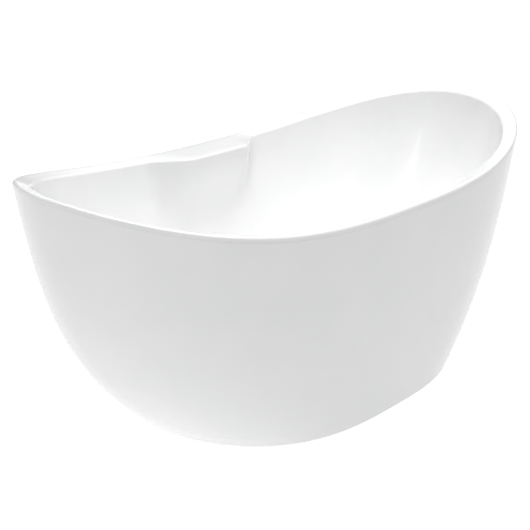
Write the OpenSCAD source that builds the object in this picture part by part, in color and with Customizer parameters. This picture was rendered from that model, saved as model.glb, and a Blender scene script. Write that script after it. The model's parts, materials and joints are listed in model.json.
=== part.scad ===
// Freestanding double-slipper bath: two acrylic skins joined at the rim, a tap ledge, a steel cradle on
// screw feet, a click-clack waste, an overflow and a low trap.
// Origin on the floor under the middle of the bath. X runs along the length, +Y points to the tap ledge.

/* [Outer skin] */
// Overall length at the rim
bath_length = 1600; // [1500:10:1700]
// Overall width at the rim
bath_width = 830; // [800:10:870]
// Height of the rim at the middle of the long sides
rim_height_mid = 580; // [570:5:610]
// Height of the rim at the two ends
rim_height_end = 700; // [660:5:760]
// Length of the outline on the floor
base_length = 1024; // [980:10:1100]
// Width of the outline on the floor
base_width = 763; // [740:1:780]
// Height of the skirt's lower edge above the floor
skirt_gap = 3; // [2:1:8]
// Thickness of the acrylic skins
skin = 5; // [4:0.5:6]

/* [Rim and tap ledge] */
// Width of the rim
rim_width = 42; // [38:1:48]
// Fall of the rim towards the basin, none on the tap ledge
rim_fall = 7; // [4:0.5:7]
// Radius of the rim's outer edge
rim_round = 8; // [7:1:9]
// Radius of the rim's inner edge
rim_inner_round = 7; // [7:1:10]
// Width of the rim where it forms the tap ledge
ledge_width = 122; // [110:1:130]
// Half the length over which the ledge keeps its full width
ledge_half = 95; // [80:5:110]
// Length over which the ledge narrows back to the rim
ledge_blend = 125; // [100:5:150]
// Depth over which the ledge's underside runs back into the wall
ledge_drop = 220; // [180:10:260]

/* [Basin] */
// Height of the basin's floor above the ground, at the foot of its walls
floor_height = 122; // [120:1:126]
// Length of the basin's floor
floor_length = 880; // [820:10:920]
// Width of the basin's floor
floor_width = 430; // [400:10:440]
// Depth by which the floor falls to the waste
floor_fall = 3; // [2:0.5:4]
// Thickness of the glass-fibre skin under the basin
laminate = 4; // [3:0.5:4]

/* [Cradle] */
// Distance of the cross rails from the middle
cross_rail_x = 300; // [280:5:320]
// Distance of the long rails from the middle
long_rail_y = 130; // [120:5:140]
// Distance of the feet from the middle, across the bath
foot_y = 285; // [270:5:290]
// Diameter of the feet's threaded studs
stud_d = 12; // [10:1:12]

/* [Waste] */
// Diameter of the waste hole
waste_hole_d = 52; // [51:1:54]
// Outer diameter of the trap's outlet
outlet_d = 40; // [38:1:42]

/* [Hidden] */
// Outline exponents: along the length and across it, at the rim and on the floor
rim_power_x = 3.32;
rim_power_y = 2;
base_power_x = 2.9;
base_power_y = 1.7;
floor_power_x = 2.6;
floor_power_y = 2;
// How sharply the rim climbs towards the ends
rim_climb = 2.48;
// End walls: share of straight lean, and how hard the rest bows out
end_lean = 0.267;
end_bow = 3.32;
// Basin walls: share of straight lean, and squareness of the sweep from floor to wall
wall_lean = 0.25;
sweep_side = 2.7;
sweep_end = 2.1;
// How much closer the wall's rows lie under the rim
wall_spread = 1.6;
// Depth of the basin's outer lip and of the seam under it
lip = 14;
seam = 0.3;
// Clearance left between bonded skins
bond_gap = 0.4;
// Recess round the waste hole
recess_r = 42;
recess_slope = 4;
recess_depth = 4;
laminate_hole_r = 60;
// Clearance of the laminate round the overflow's hole
laminate_overflow_gap = 8;
// Bead behind the seam: its top and bottom below the rim, and its thickness
bond_top = 9;
bond_bottom = 30;
bond_t = 4;
// Counts along and around the skins
columns = 96;
shell_rows = 13;
wall_rows = 12;
floor_rows = 3;
arc_step = 30;
// How far the columns crowd together along the sides, in degrees
crowding = 8;
$fn = 64;

half_l = bath_length / 2;
half_w = bath_width / 2;
floor_mid = floor_height - floor_fall;
waste_seat = floor_mid - recess_depth;
under_skin = skin + bond_gap;
laminate_under = under_skin + laminate;

// Boards
board_t = 12;
board_top = floor_mid - laminate_under - bond_gap;
board_bottom = board_top - board_t;
board_l = 760;
board_w = 330;
board_hole_r = 75;
board_corner = 60;
ledge_board_l = 180;
ledge_board_w = 78;
ledge_board_corner = 8;
// Distance of the ledge board from the rim's outline
ledge_board_edge = 14;
ledge_board_z = rim_height_mid - under_skin - board_t;

// Rails: folded channels of one section
rail_w = 40;
rail_h = 25;
rail_t = 2.5;
rail_top = board_bottom;
rail_low = rail_top - rail_h;
cross_rail_l = 640;
cleat_l = 30;
cleat_t = 3;

// Screws
screw_r = 2.4;
screw_clear = 0.05;
cross_screw_y = 85;
long_screw_x = 160;
rail_screw_l = board_t;
rail_screw_head_r = 5;
rail_screw_head_h = 3;

// Fixings of the skirt
block_q_low = 54;
block_q_high = 61;
block_z = 44;
block_h = 36;
bracket_t = 3;
bracket_w = 32;
bracket_reach = 20;
bracket_z = 48;
block_face_y = cross_rail_l / 2 + 0.3 + bracket_t;
skirt_screw_z = [56, 68];
skirt_screw_l = 14;
skirt_screw_head_r = 4.5;
skirt_screw_head_h = 2.5;
block_arc_steps = 6;

// Feet
nut_af = 19;
nut_h = 10;
lock_nut_h = 6;
running_fit = 0.08;
stud_bottom = 6;
stud_top = 120;
pad_r = 25;
pad_h = 20;
pad_edge_h = 5;
pad_hub_r = 13;
stud_bevel = 1;
stud_collar_z = 28;
stud_collar_h = 6;
stud_collar_af = 17;

// Waste
waste_r = waste_hole_d / 2;
gasket_t = 0.8;
flange_in_r = 22;
flange_out_r = 35;
flange_t = 2.5;
flange_edge = 1;
flange_top = waste_seat + gasket_t + flange_t;
flange_low = 90;
thread_r = 24.6;
arm_w = 3;
hub_r = 8;
spider_z = 98;
spider_h = 6;
cartridge_r = 5;
cartridge_low = 93;
cartridge_top = 111;
cartridge_floor = 3;
cartridge_hex = 13;
stem_r = 3;
stem_low = 97;
press_fit = 0.05;
seal_gap = 0.1;
plug_z = flange_top + 0.8;
plug_r = 31;
plug_t = 1.5;
plug_rise = [0.8, 2, 3.4, 4.2, 4.5];
plug_boss_r = 9;
plug_boss_l = 5;
lower_gasket_t = 4;
chamber_flange_r = 38;
chamber_flange_t = 4;
chamber_r = 30;
chamber_wall = 3;
chamber_top = waste_seat - skin - lower_gasket_t;
chamber_low = 38;
neck_depth = 18;
neck_step = 2;
branch_z = 57;
branch_l = 48;
branch_barb_l = 18;

// Trap
outlet_r = outlet_d / 2;
outlet_wall = 2;
socket_r = 24;
socket_l = 19;
trap_x = 116;
trap_r = 36;
inlet_z = 60;
outlet_z = 66;
cup_low = 13;
cup_high = 93;
cap_low = 7;
cap_t = 3;
cap_rim = 4;
cap_rim_h = 12;
baffle_low = 24;
inlet_x = 66;
tail_end_x = 80;
outlet_x = 172;
union_l = 16;
union_wall = 4;
union_overlap = 9;
union_seal_t = 2.8;
elbow_x = 200;
elbow_bend = 28;
elbow_low = 8;

// Overflow
overflow_z = 480;
overflow_r = 24;
cover_r = 33;
cover_h = 9;
cover_t = 3;
slot_w = 6;
slot_h = 5;
pin_r = 4;
spout_r = 22;
// Depth of the overflow's elbow behind the wall, and of the axis of its outlet
elbow_depth = 29.5;
overflow_axis = -25.5;
elbow_r = 31;
overflow_seal_t = 3;
hose_r = 11.5;
hose_wall = 1.5;
hose_sides = 12;
// Route points for each stretch of the hose
hose_steps = 3;
// The barbs that the hose is pushed over, and the wall of the tubes that carry them
barb_r = 9.5;
barb_wall = 2;
hose_nut_wall = 2;
hose_nut_h = 14;
// Distance of the upper hose nut below the overflow's middle, along the wall
hose_nut_top_y = 36;
// Distances below the upper hose nut's start at which the hose's route still runs straight
hose_lead = [2, 26, 55];

white = [0.97, 0.97, 0.97];
chrome = [0.80, 0.81, 0.83];
steel = [0.62, 0.64, 0.66];
zinc = [0.72, 0.73, 0.70];
ply = [0.80, 0.66, 0.46];
resin = [0.78, 0.78, 0.66];
rubber = [0.12, 0.12, 0.13];
plastic = [0.90, 0.90, 0.88];
black = [0.10, 0.10, 0.11];

// ---- Shared surfaces ----

function unit(v) = v / norm(v);

// Smooth step from 0 to 1 while t goes from 0 to 1
function ease(t) =
    let (c = max(0, min(1, t)))
    c * c * (3 - 2 * c);

// Point of an outline with half sizes a and b, at angle q
function outline(a, b, px, py, q) =
    [a * cos(q), sign(sin(q)) * b * pow(max(0, 1 - pow(abs(cos(q)), px)), 1 / py)];

function rim_outline(q) = outline(half_l, half_w, rim_power_x, rim_power_y, q);
function base_outline(q) = outline(base_length / 2, base_width / 2, base_power_x, base_power_y, q);
function floor_outline(q) = outline(floor_length / 2, floor_width / 2, floor_power_x, floor_power_y, q);

// Height of the rim's top over the point x of the length
function rim_z(x) =
    let (share = min(1, abs(x) / (half_l - rim_round)))
    rim_height_mid + (rim_height_end - rim_height_mid) * pow(share, rim_climb);

// Level direction that points from the rim's outline into the bath
function inward(q) =
    let (t = unit(rim_outline(q + 1) - rim_outline(q - 1)))
    [-t[1], t[0]];

// Point of the outer skin at angle q, from 0 on the floor to 1 where the rim starts to round over
function outer_at(q, s) =
    let (
        top = rim_outline(q),
        low = base_outline(q),
        f = end_lean * s + (1 - end_lean) * (1 - pow(1 - s, end_bow))
    )
    [low[0] + (top[0] - low[0]) * f, low[1] + (top[1] - low[1]) * s, s * (rim_z(top[0]) - rim_round)];

function outer_normal(q, s) =
    unit(cross(outer_at(q + 1, s) - outer_at(q - 1, s), outer_at(q, s + 0.01) - outer_at(q, s - 0.01)));

// The outer skin's point moved level into the skin by a thickness measured square to it
function outer_inset(q, s, depth) =
    let (
        n = outer_normal(q, min(0.98, s)),
        h = norm([n[0], n[1]]),
        p = outer_at(q, s)
    )
    [p[0] - n[0] * depth / (h * h), p[1] - n[1] * depth / (h * h), p[2]];

// Share of the outer skin's height at a real height z
function share_at(q, z) = z / (rim_z(rim_outline(q)[0]) - rim_round);
function share_below_rim(q, drop) = 1 - (drop - rim_round) / (rim_z(rim_outline(q)[0]) - rim_round);

// Width of the rim at angle q, wider along the tap ledge
function rim_width_at(q) =
    let (p = rim_outline(q))
    p[1] <= 0 ? rim_width :
        rim_width + (ledge_width - rim_width) * (1 - ease((abs(p[0]) - ledge_half) / ledge_blend));

// Fall of the rim from its outer to its inner edge at angle q
function rim_fall_at(q) = rim_fall * (ledge_width - rim_width_at(q)) / (ledge_width - rim_width);

// Point at a distance d in from the rim's outline and h above the rim's top
function rim_at(q, d, h) =
    let (p = rim_outline(q) + d * inward(q))
    [p[0], p[1], rim_z(p[0]) + h];

// Point of the basin's wall at angle q, from 0 under the rim to 1 at the floor
function wall_at(q, k) =
    let (
        along = pow(cos(q), 2),
        e = 2 / (sweep_side + (sweep_end - sweep_side) * along),
        turn = 90 * (1 - pow(min(1, k), wall_spread)),
        s = 1 - pow(cos(turn), e),
        f = (1 - wall_lean) * pow(sin(turn), e) + wall_lean * s,
        drop = (1 - s) * (rim_height_mid - rim_inner_round - floor_height),
        w = rim_width + (rim_width_at(q) - rim_width) * (1 - ease(drop / ledge_drop)),
        top = rim_at(q, w, -rim_inner_round - rim_fall_at(q)),
        low = floor_outline(q)
    )
    [low[0] + (top[0] - low[0]) * f, low[1] + (top[1] - low[1]) * f,
     floor_height + (top[2] - floor_height) * s];

function wall_normal(q, k) =
    let (c = max(0.02, min(0.98, k)))
    unit(cross(wall_at(q + 1, c) - wall_at(q - 1, c), wall_at(q, c - 0.02) - wall_at(q, c + 0.02)));

// The wall's point moved out of the basin
function wall_offset(q, k, depth) = wall_at(q, k) + wall_normal(q, k) * depth;

// Point of the floor from 0 at the foot of the wall to 1 at the edge of the waste's recess
function floor_at(q, g, r) =
    let (a = floor_outline(q))
    [a[0] + (r * cos(q) - a[0]) * g, a[1] + (r * sin(q) - a[1]) * g, floor_height - floor_fall * g];

// Triangles of a skin made of n loops of m points each, every loop and the set of them closed. The second
// half of a loop runs back under the first half, so its diagonals lean the other way to lie under them.
function loop_faces(n, m) = [
    for (i = [0 : n - 1], j = [0 : m - 1])
        let (
            a = i * m + j,
            b = i * m + (j + 1) % m,
            c = ((i + 1) % n) * m + (j + 1) % m,
            d = ((i + 1) % n) * m + j
        )
        each j < m / 2 ? [[a, b, c], [a, c, d]] : [[a, b, d], [b, c, d]]
];

// Angle of column i, the columns closer together along the sides than round the ends
function angle_of(i) =
    let (a = 360 * i / columns)
    a + crowding * sin(2 * a);

COLUMN_ANGLES = [for (i = [0 : columns - 1]) angle_of(i)];

// One closed skin from a list of equal loops
module skin_of(loops) {
    polyhedron([for (l = loops) each l], loop_faces(len(loops), len(loops[0])), convexity = 8);
}

// ---- Skins ----

function shell_loop(q) =
    let (
        low = share_at(q, skirt_gap),
        high = share_below_rim(q, lip + seam),
        rows = [for (j = [0 : shell_rows]) low + (high - low) * j / shell_rows]
    )
    concat(
        [for (s = rows) outer_at(q, s)],
        [for (j = [shell_rows : -1 : 0]) outer_inset(q, rows[j], skin)]
    );

// Apron of the bath: one thin acrylic skin from just above the floor to the seam under the rim
module outer_shell() {
    color(white)
        skin_of([for (q = COLUMN_ANGLES) shell_loop(q)]);
}

// Points over the rim at a depth d into the skin, from its outer edge to its inner one
function rim_top(q, d) =
    let (
        r = rim_round - d,
        ri = rim_inner_round - d,
        inner = rim_width_at(q) - rim_inner_round,
        slope = rim_fall_at(q) / (rim_width_at(q) - rim_round)
    )
    concat(
        [for (a = [0 : arc_step : 90])
            rim_at(q, rim_round - r * cos(a), -rim_round + r * sin(a))],
        [for (a = [0 : arc_step : 90 - arc_step])
            let (in = inner + ri * sin(a))
            rim_at(q, in, -rim_inner_round + ri * cos(a) - slope * (in - rim_round))]
    );

function reversed(l) = [for (i = [len(l) - 1 : -1 : 0]) l[i]];

function ring_at(q, r, z) = [r * cos(q), r * sin(q), z];

function basin_loop(q) =
    let (
        top = concat(
            [outer_at(q, share_below_rim(q, lip))],
            rim_top(q, 0),
            [for (j = [0 : wall_rows]) wall_at(q, j / wall_rows)],
            [for (j = [1 : floor_rows]) floor_at(q, j / floor_rows, recess_r + recess_slope)],
            [ring_at(q, recess_r, waste_seat), ring_at(q, waste_r, waste_seat)]
        ),
        under = concat(
            [outer_inset(q, share_below_rim(q, lip), skin)],
            rim_top(q, skin),
            [for (j = [0 : wall_rows]) wall_offset(q, j / wall_rows, skin)],
            [for (j = [1 : floor_rows])
                floor_at(q, j / floor_rows, recess_r + recess_slope) - [0, 0, skin]],
            [ring_at(q, recess_r, waste_seat - skin), ring_at(q, waste_r, waste_seat - skin)]
        )
    )
    concat(top, reversed(under));

// Distance of the front wall's inside from the middle plane at height z, at the middle of the length
function front_wall_y(z) =
    let (
        s = (z - floor_height) / (rim_height_mid - rim_fall - rim_inner_round - floor_height),
        e = 2 / sweep_side,
        turn = acos(pow(1 - s, 1 / e)),
        f = (1 - wall_lean) * pow(sin(turn), e) + wall_lean * s
    )
    -floor_width / 2 - (half_w - rim_width - floor_width / 2) * f;

overflow_y = front_wall_y(overflow_z);
overflow_tilt = atan((front_wall_y(overflow_z - 10) - front_wall_y(overflow_z + 10)) / 20);

// Stands children on the inside of the front wall: their +Z points into the bath and their +Y down
module at_overflow() {
    translate([0, overflow_y, overflow_z])
        rotate([overflow_tilt - 90, 0, 0])
            children();
}

module overflow_hole(r) {
    reach = 40;
    at_overflow()
        translate([0, 0, -reach])
            cylinder(r = r, h = 2 * reach);
}

// Inner skin: rim, tap ledge, walls and floor in one, with the waste and overflow holes
module basin() {
    color(white)
        difference() {
            skin_of([for (q = COLUMN_ANGLES) basin_loop(q)]);
            overflow_hole(overflow_r + 1);
        }
}

// The back of the basin's walls and floor at a depth, from just under the rim to the recess
function laminate_points(q, depth) =
    concat(
        [for (j = [1 : wall_rows]) wall_offset(q, j / wall_rows, depth)],
        [for (j = [1 : floor_rows])
            floor_at(q, j / floor_rows, recess_r + recess_slope) - [0, 0, depth]]
    );

// Glass-fibre skin laid up on the back of the basin
module basin_laminate() {
    color(resin)
        difference() {
            skin_of([for (q = COLUMN_ANGLES)
                concat(
                    laminate_points(q, under_skin),
                    reversed(laminate_points(q, laminate_under))
                )
            ]);
            overflow_hole(overflow_r + laminate_overflow_gap);
            cylinder(r = laminate_hole_r, h = floor_height);
        }
}

// Bead of bonding paste behind the seam, along the whole rim
module rim_bond() {
    color(resin)
        skin_of([for (q = COLUMN_ANGLES)
            let (
                high = share_below_rim(q, bond_top),
                low = share_below_rim(q, bond_bottom)
            )
            [
                outer_inset(q, low, under_skin),
                outer_inset(q, high, under_skin),
                outer_inset(q, high, under_skin + bond_t),
                outer_inset(q, low, under_skin + bond_t)
            ]
        ]);
}

// ---- Boards and cradle ----

module rounded_plate(l, w, r, t) {
    linear_extrude(t)
        union() {
            square([l - 2 * r, w], center = true);
            square([l, w - 2 * r], center = true);
            for (x = [-1, 1], y = [-1, 1])
                translate([x * (l / 2 - r), y * (w / 2 - r)])
                    circle(r);
        }
}

// Plywood under the tap ledge, for the taps' fixings to bear on
module ledge_board() {
    color(ply)
        translate([0, half_w - ledge_board_edge - ledge_board_w / 2, ledge_board_z])
            rounded_plate(ledge_board_l, ledge_board_w, ledge_board_corner, board_t);
}

// Places of the screws that hold the rails up to the base board
function rail_screw_places() = concat(
    [for (x = [-cross_rail_x, cross_rail_x], y = [-cross_screw_y, cross_screw_y]) [x, y]],
    [for (x = [-long_screw_x, long_screw_x], y = [-long_rail_y, long_rail_y]) [x, y]]
);

module rail_screw_holes() {
    for (p = rail_screw_places())
        translate([p[0], p[1], rail_top - rail_t - 1])
            cylinder(r = screw_r + screw_clear, h = rail_screw_l + 2);
}

// Plywood bonded under the basin's floor
module base_board() {
    color(ply)
        difference() {
            translate([0, 0, board_bottom])
                rounded_plate(board_l, board_w, board_corner, board_t);
            translate([0, 0, board_bottom - 1])
                cylinder(r = board_hole_r, h = board_t + 2);
            rail_screw_holes();
        }
}

// Folded steel channel along X, open below, its web at the top
module channel(l) {
    translate([-l / 2, -rail_w / 2, rail_top - rail_h])
        difference() {
            cube([l, rail_w, rail_h]);
            translate([-1, rail_t, -1])
                cube([l + 2, rail_w - 2 * rail_t, rail_h - rail_t + 1]);
        }
}

module cross_rail(x) {
    color(steel)
        difference() {
            translate([x, 0, 0])
                rotate([0, 0, 90])
                    channel(cross_rail_l);
            for (y = [-foot_y, foot_y])
                translate([x, y, rail_top - rail_t - 1])
                    cylinder(d = stud_d + 1.5, h = rail_t + 2);
            rail_screw_holes();
        }
}

module long_rail(y) {
    color(steel)
        difference() {
            translate([0, y, 0])
                channel(2 * cross_rail_x - rail_w);
            rail_screw_holes();
        }
}

module cross_rail_left() {
    cross_rail(-cross_rail_x);
}

module cross_rail_right() {
    cross_rail(cross_rail_x);
}

module long_rail_front() {
    long_rail(-long_rail_y);
}

module long_rail_back() {
    long_rail(long_rail_y);
}

// Four welded angle cleats in the corners between the long rails and the cross rails
module rail_cleats() {
    color(steel)
        for (x = [-1, 1], y = [-1, 1])
            translate([x * (cross_rail_x - rail_w / 2), y * (long_rail_y + rail_w / 2), rail_low])
                mirror([x > 0 ? 1 : 0, 0, 0])
                    mirror([0, y > 0 ? 0 : 1, 0])
                        union() {
                            cube([cleat_t, cleat_l, rail_h - 2]);
                            cube([cleat_l, cleat_t, rail_h - 2]);
                        }
}

// Screw whose head's upper face is at the origin and whose shank runs up +Z
module screw(shank_r, shank_l, head_r, head_h) {
    translate([0, 0, -head_h])
        cylinder(r = head_r, h = head_h, $fn = 32);
    cylinder(r = shank_r, h = shank_l, $fn = 32);
}

// Screws from the rails' webs up into the base board
module rail_screws() {
    color(zinc)
        for (p = rail_screw_places())
            translate([p[0], p[1], rail_top - rail_t])
                screw(screw_r, rail_screw_l, rail_screw_head_r, rail_screw_head_h);
}

// Puts children at the four ends of the cross rails, each turned to face its own corner
module at_rail_ends() {
    for (x = [0, 1], y = [0, 1])
        mirror([x, 0, 0])
            mirror([0, y, 0])
                children();
}

// Holes of the two screws of a skirt bracket, through bracket and block
module skirt_screw_holes() {
    for (z = skirt_screw_z)
        translate([cross_rail_x, block_face_y - bracket_t - 1, z])
            rotate([-90, 0, 0])
                cylinder(r = screw_r + screw_clear, h = skirt_screw_l + 2);
}

// Point of a block's curved back, bonded to the skirt, t from one edge to the other
function block_back(t) =
    let (
        q = block_q_low + (block_q_high - block_q_low) * t,
        p = outer_inset(q, share_at(q, block_z), under_skin)
    )
    [p[0], p[1]];

// Timber blocks bonded to the inside of the skirt at the cross rails' ends
module skirt_blocks() {
    color(ply)
        at_rail_ends()
            difference() {
                translate([0, 0, block_z])
                    linear_extrude(block_h)
                        polygon(concat(
                            [for (i = [0 : block_arc_steps]) block_back(i / block_arc_steps)],
                            [[block_back(1)[0], block_face_y], [block_back(0)[0], block_face_y]]
                        ));
                skirt_screw_holes();
            }
}

// Steel angles from the cross rails' webs to the skirt blocks
module skirt_brackets() {
    color(steel)
        at_rail_ends()
            difference() {
                translate([cross_rail_x - bracket_w / 2, block_face_y - bracket_t, bracket_z])
                    union() {
                        cube([bracket_w, bracket_t, rail_top - rail_t - bracket_z]);
                        translate([0, -bracket_reach, rail_top - rail_t - bracket_t - bracket_z])
                            cube([bracket_w, bracket_reach + 1, bracket_t]);
                    }
                skirt_screw_holes();
            }
}

// Screws through the skirt brackets into the blocks
module skirt_screws() {
    color(zinc)
        at_rail_ends()
            for (z = skirt_screw_z)
                translate([cross_rail_x, block_face_y - bracket_t, z])
                    rotate([-90, 0, 0])
                        screw(screw_r, skirt_screw_l, skirt_screw_head_r, skirt_screw_head_h);
}

// ---- Feet ----

module at_feet() {
    for (x = [-1, 1], y = [-1, 1])
        translate([x * cross_rail_x, y * foot_y, 0])
            children();
}

module hex_nut(af, h, bore_r) {
    difference() {
        cylinder(d = af / cos(30), h = h, $fn = 6);
        translate([0, 0, -1])
            cylinder(r = bore_r, h = h + 2);
    }
}

// Nuts welded under the cross rails' webs
module weld_nuts() {
    color(zinc)
        at_feet()
            translate([0, 0, rail_top - rail_t - nut_h])
                hex_nut(nut_af, nut_h, stud_d / 2 + running_fit);
}

// Nuts that lock each stud against its weld nut
module lock_nuts() {
    color(zinc)
        at_feet()
            translate([0, 0, rail_top - rail_t - nut_h - lock_nut_h - 0.2])
                hex_nut(nut_af, lock_nut_h, stud_d / 2 + running_fit);
}

// Round plastic foot with a blind socket for the stud's end
module foot_pad(x, y) {
    socket_r = stud_d / 2 + running_fit;
    color(black)
        translate([x, y, 0])
            rotate_extrude()
                polygon([
                    [0, 0], [pad_r - 1, 0], [pad_r, 1], [pad_r, pad_edge_h],
                    [pad_hub_r + 4, pad_edge_h + 3], [pad_hub_r, pad_h], [socket_r, pad_h],
                    [socket_r, stud_bottom - running_fit], [0, stud_bottom - running_fit]
                ]);
}

// Threaded stud with a collar for a spanner
module foot_stud(x, y) {
    color(zinc)
        translate([x, y, 0])
            union() {
                translate([0, 0, stud_bottom])
                    cylinder(d = stud_d, h = stud_top - stud_bevel - stud_bottom);
                translate([0, 0, stud_top - stud_bevel])
                    cylinder(d1 = stud_d, d2 = stud_d - 2 * stud_bevel, h = stud_bevel);
                translate([0, 0, stud_collar_z])
                    cylinder(d = stud_collar_af / cos(30), h = stud_collar_h, $fn = 6);
            }
}

module foot_pad_1() {
    foot_pad(-cross_rail_x, -foot_y);
}

module foot_pad_2() {
    foot_pad(cross_rail_x, -foot_y);
}

module foot_pad_3() {
    foot_pad(-cross_rail_x, foot_y);
}

module foot_pad_4() {
    foot_pad(cross_rail_x, foot_y);
}

module foot_stud_1() {
    foot_stud(-cross_rail_x, -foot_y);
}

module foot_stud_2() {
    foot_stud(cross_rail_x, -foot_y);
}

module foot_stud_3() {
    foot_stud(-cross_rail_x, foot_y);
}

module foot_stud_4() {
    foot_stud(cross_rail_x, foot_y);
}

// ---- Waste ----

// Flat ring between two radii, from z to z + h
module ring(r_out, r_in, z, h) {
    translate([0, 0, z])
        difference() {
            cylinder(r = r_out, h = h);
            translate([0, 0, -1])
                cylinder(r = r_in, h = h + 2);
        }
}

// Solid rod along +X from x to x + l, in the plane y = 0 at height z
module rod_x(x, z, r, l) {
    translate([x, 0, z])
        rotate([0, 90, 0])
            cylinder(r = r, h = l);
}

// Solid rod from the middle along -Y, at height z
module rod_front(z, r, l) {
    translate([0, 0, z])
        rotate([90, 0, 0])
            cylinder(r = r, h = l);
}

// Hub on three arms that reach out to radius r
module spider(r, z, h) {
    translate([0, 0, z]) {
        cylinder(r = hub_r, h = h);
        for (a = [90, 210, 330])
            rotate([0, 0, a])
                translate([0, -arm_w / 2, 0])
                    cube([r, arm_w, h]);
    }
}

// Waste flange seated in the basin's recess, with its threaded tube and the spider for the cartridge
module waste_flange() {
    seat = waste_seat + gasket_t;
    color(chrome)
        difference() {
            union() {
                rotate_extrude()
                    polygon([
                        [flange_in_r, seat], [flange_out_r, seat], [flange_out_r, seat + flange_edge],
                        [flange_out_r - 2, flange_top], [flange_in_r + 1, flange_top],
                        [flange_in_r, flange_top - 1]
                    ]);
                ring(thread_r, flange_in_r, flange_low, seat - flange_low + 0.5);
                spider(flange_in_r + 1, spider_z, spider_h);
            }
            translate([0, 0, spider_z - 1])
                cylinder(r = cartridge_r + press_fit, h = spider_h + 2);
        }
}

// Rubber ring under the waste flange
module flange_gasket() {
    color(rubber)
        ring(flange_out_r - 0.5, waste_r - 0.5, waste_seat, gasket_t);
}

// Push-push cartridge screwed into the flange's hub
module click_cartridge() {
    bore_low = cartridge_low + cartridge_floor;
    color(zinc)
        difference() {
            union() {
                translate([0, 0, cartridge_low])
                    cylinder(r = cartridge_r, h = cartridge_top - cartridge_low);
                translate([0, 0, spider_z + spider_h])
                    cylinder(d = cartridge_hex / cos(30), h = cartridge_floor, $fn = 6);
            }
            translate([0, 0, bore_low])
                cylinder(r = stem_r + running_fit, h = cartridge_top - bore_low + 1);
        }
}

// Domed plug that covers the flange, with the boss that takes the stem
module waste_plug() {
    bore = stem_r + press_fit;
    boss_low = plug_z - plug_boss_l;
    color(chrome)
        rotate_extrude()
            polygon([
                [bore, boss_low], [plug_boss_r, boss_low], [plug_boss_r, plug_z],
                [plug_r - 1, plug_z], [plug_r, plug_z + plug_rise[0]],
                [plug_r - 1, plug_z + plug_rise[1]], [plug_r * 0.7, plug_z + plug_rise[2]],
                [plug_r * 0.35, plug_z + plug_rise[3]], [0, plug_z + plug_rise[4]],
                [0, plug_z + plug_t], [bore, plug_z + plug_t]
            ]);
}

// Stem of the plug, sliding in the cartridge
module plug_stem() {
    color(zinc)
        translate([0, 0, stem_low])
            cylinder(r = stem_r, h = plug_z + plug_t - stem_low);
}

// Rubber ring under the plug, which closes on the flange
module plug_seal() {
    color(rubber)
        ring(plug_r - 3, flange_in_r + 1.5, flange_top + seal_gap, plug_z - flange_top - seal_gap);
}

// Rubber ring between the waste body and the underside of the basin
module lower_gasket() {
    color(rubber)
        ring(chamber_flange_r, waste_r + 0.2, chamber_top, lower_gasket_t);
}

// Chamber under the basin with the threaded neck, the overflow branch and the outlet to the trap
module waste_body() {
    neck_z = chamber_top - neck_depth;
    floor_z = chamber_low + chamber_wall;
    color(plastic)
        difference() {
            union() {
                translate([0, 0, chamber_low])
                    cylinder(r = chamber_r, h = chamber_top - chamber_low);
                translate([0, 0, chamber_top - chamber_flange_t])
                    cylinder(r = chamber_flange_r, h = chamber_flange_t);
                rod_x(0, inlet_z, outlet_r, tail_end_x);
                rod_front(branch_z, hose_r + 2, branch_l);
                rod_front(branch_z, barb_r, branch_l + branch_barb_l);
            }
            translate([0, 0, neck_z])
                cylinder(r = thread_r + press_fit, h = neck_depth + 1);
            translate([0, 0, floor_z])
                cylinder(r = chamber_r - chamber_wall, h = neck_z - neck_step - floor_z);
            translate([0, 0, neck_z - neck_step - 1])
                cylinder(r = thread_r - neck_step, h = neck_step + 2);
            rod_x(0, inlet_z, outlet_r - chamber_wall, tail_end_x + 1);
            rod_front(branch_z, barb_r - barb_wall, branch_l + branch_barb_l + 1);
        }
}

// ---- Trap ----

// Cup of the trap with its inlet and outlet sockets and the baffle that keeps the water seal
module trap_body() {
    color(plastic)
        difference() {
            union() {
                translate([trap_x, 0, cup_low])
                    cylinder(r = trap_r, h = cup_high - cup_low);
                rod_x(inlet_x, inlet_z, socket_r, trap_x - inlet_x);
                rod_x(trap_x, outlet_z, socket_r, outlet_x - trap_x);
            }
            difference() {
                translate([trap_x, 0, cup_low - 1])
                    cylinder(r = trap_r - chamber_wall, h = cup_high - cup_low - chamber_wall + 1);
                translate([trap_x - chamber_wall / 2, -trap_r, baffle_low])
                    cube([chamber_wall, 2 * trap_r, cup_high]);
            }
            rod_x(inlet_x - 1, inlet_z, outlet_r + running_fit, socket_l + 1);
            rod_x(inlet_x, inlet_z, outlet_r - chamber_wall, trap_x - inlet_x - chamber_wall);
            rod_x(outlet_x - socket_l, outlet_z, outlet_r + running_fit, socket_l + 1);
            rod_x(trap_x + chamber_wall, outlet_z, outlet_r - chamber_wall,
                  outlet_x - socket_l - trap_x);
        }
}

// Union nut around a tail, its collar on the side of -X
module union_nut(x, z) {
    color(plastic)
        difference() {
            rod_x(x, z, socket_r + union_wall, union_l);
            rod_x(x - 1, z, outlet_r + 0.3, union_l + 2);
            rod_x(x + union_wall, z, socket_r + 0.1, union_l);
        }
}

module union_seal(x, z) {
    color(rubber)
        difference() {
            rod_x(x, z, socket_r - 0.5, union_seal_t);
            rod_x(x - 1, z, outlet_r + press_fit, union_seal_t + 2);
        }
}

module trap_inlet_nut() {
    union_nut(inlet_x + union_overlap - union_l, inlet_z);
}

module trap_inlet_seal() {
    union_seal(inlet_x - seal_gap - union_seal_t, inlet_z);
}

module outlet_nut() {
    translate([2 * outlet_x, 0, 0])
        mirror([1, 0, 0])
            union_nut(outlet_x + union_overlap - union_l, outlet_z);
}

module outlet_seal() {
    union_seal(outlet_x + seal_gap, outlet_z);
}

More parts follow.
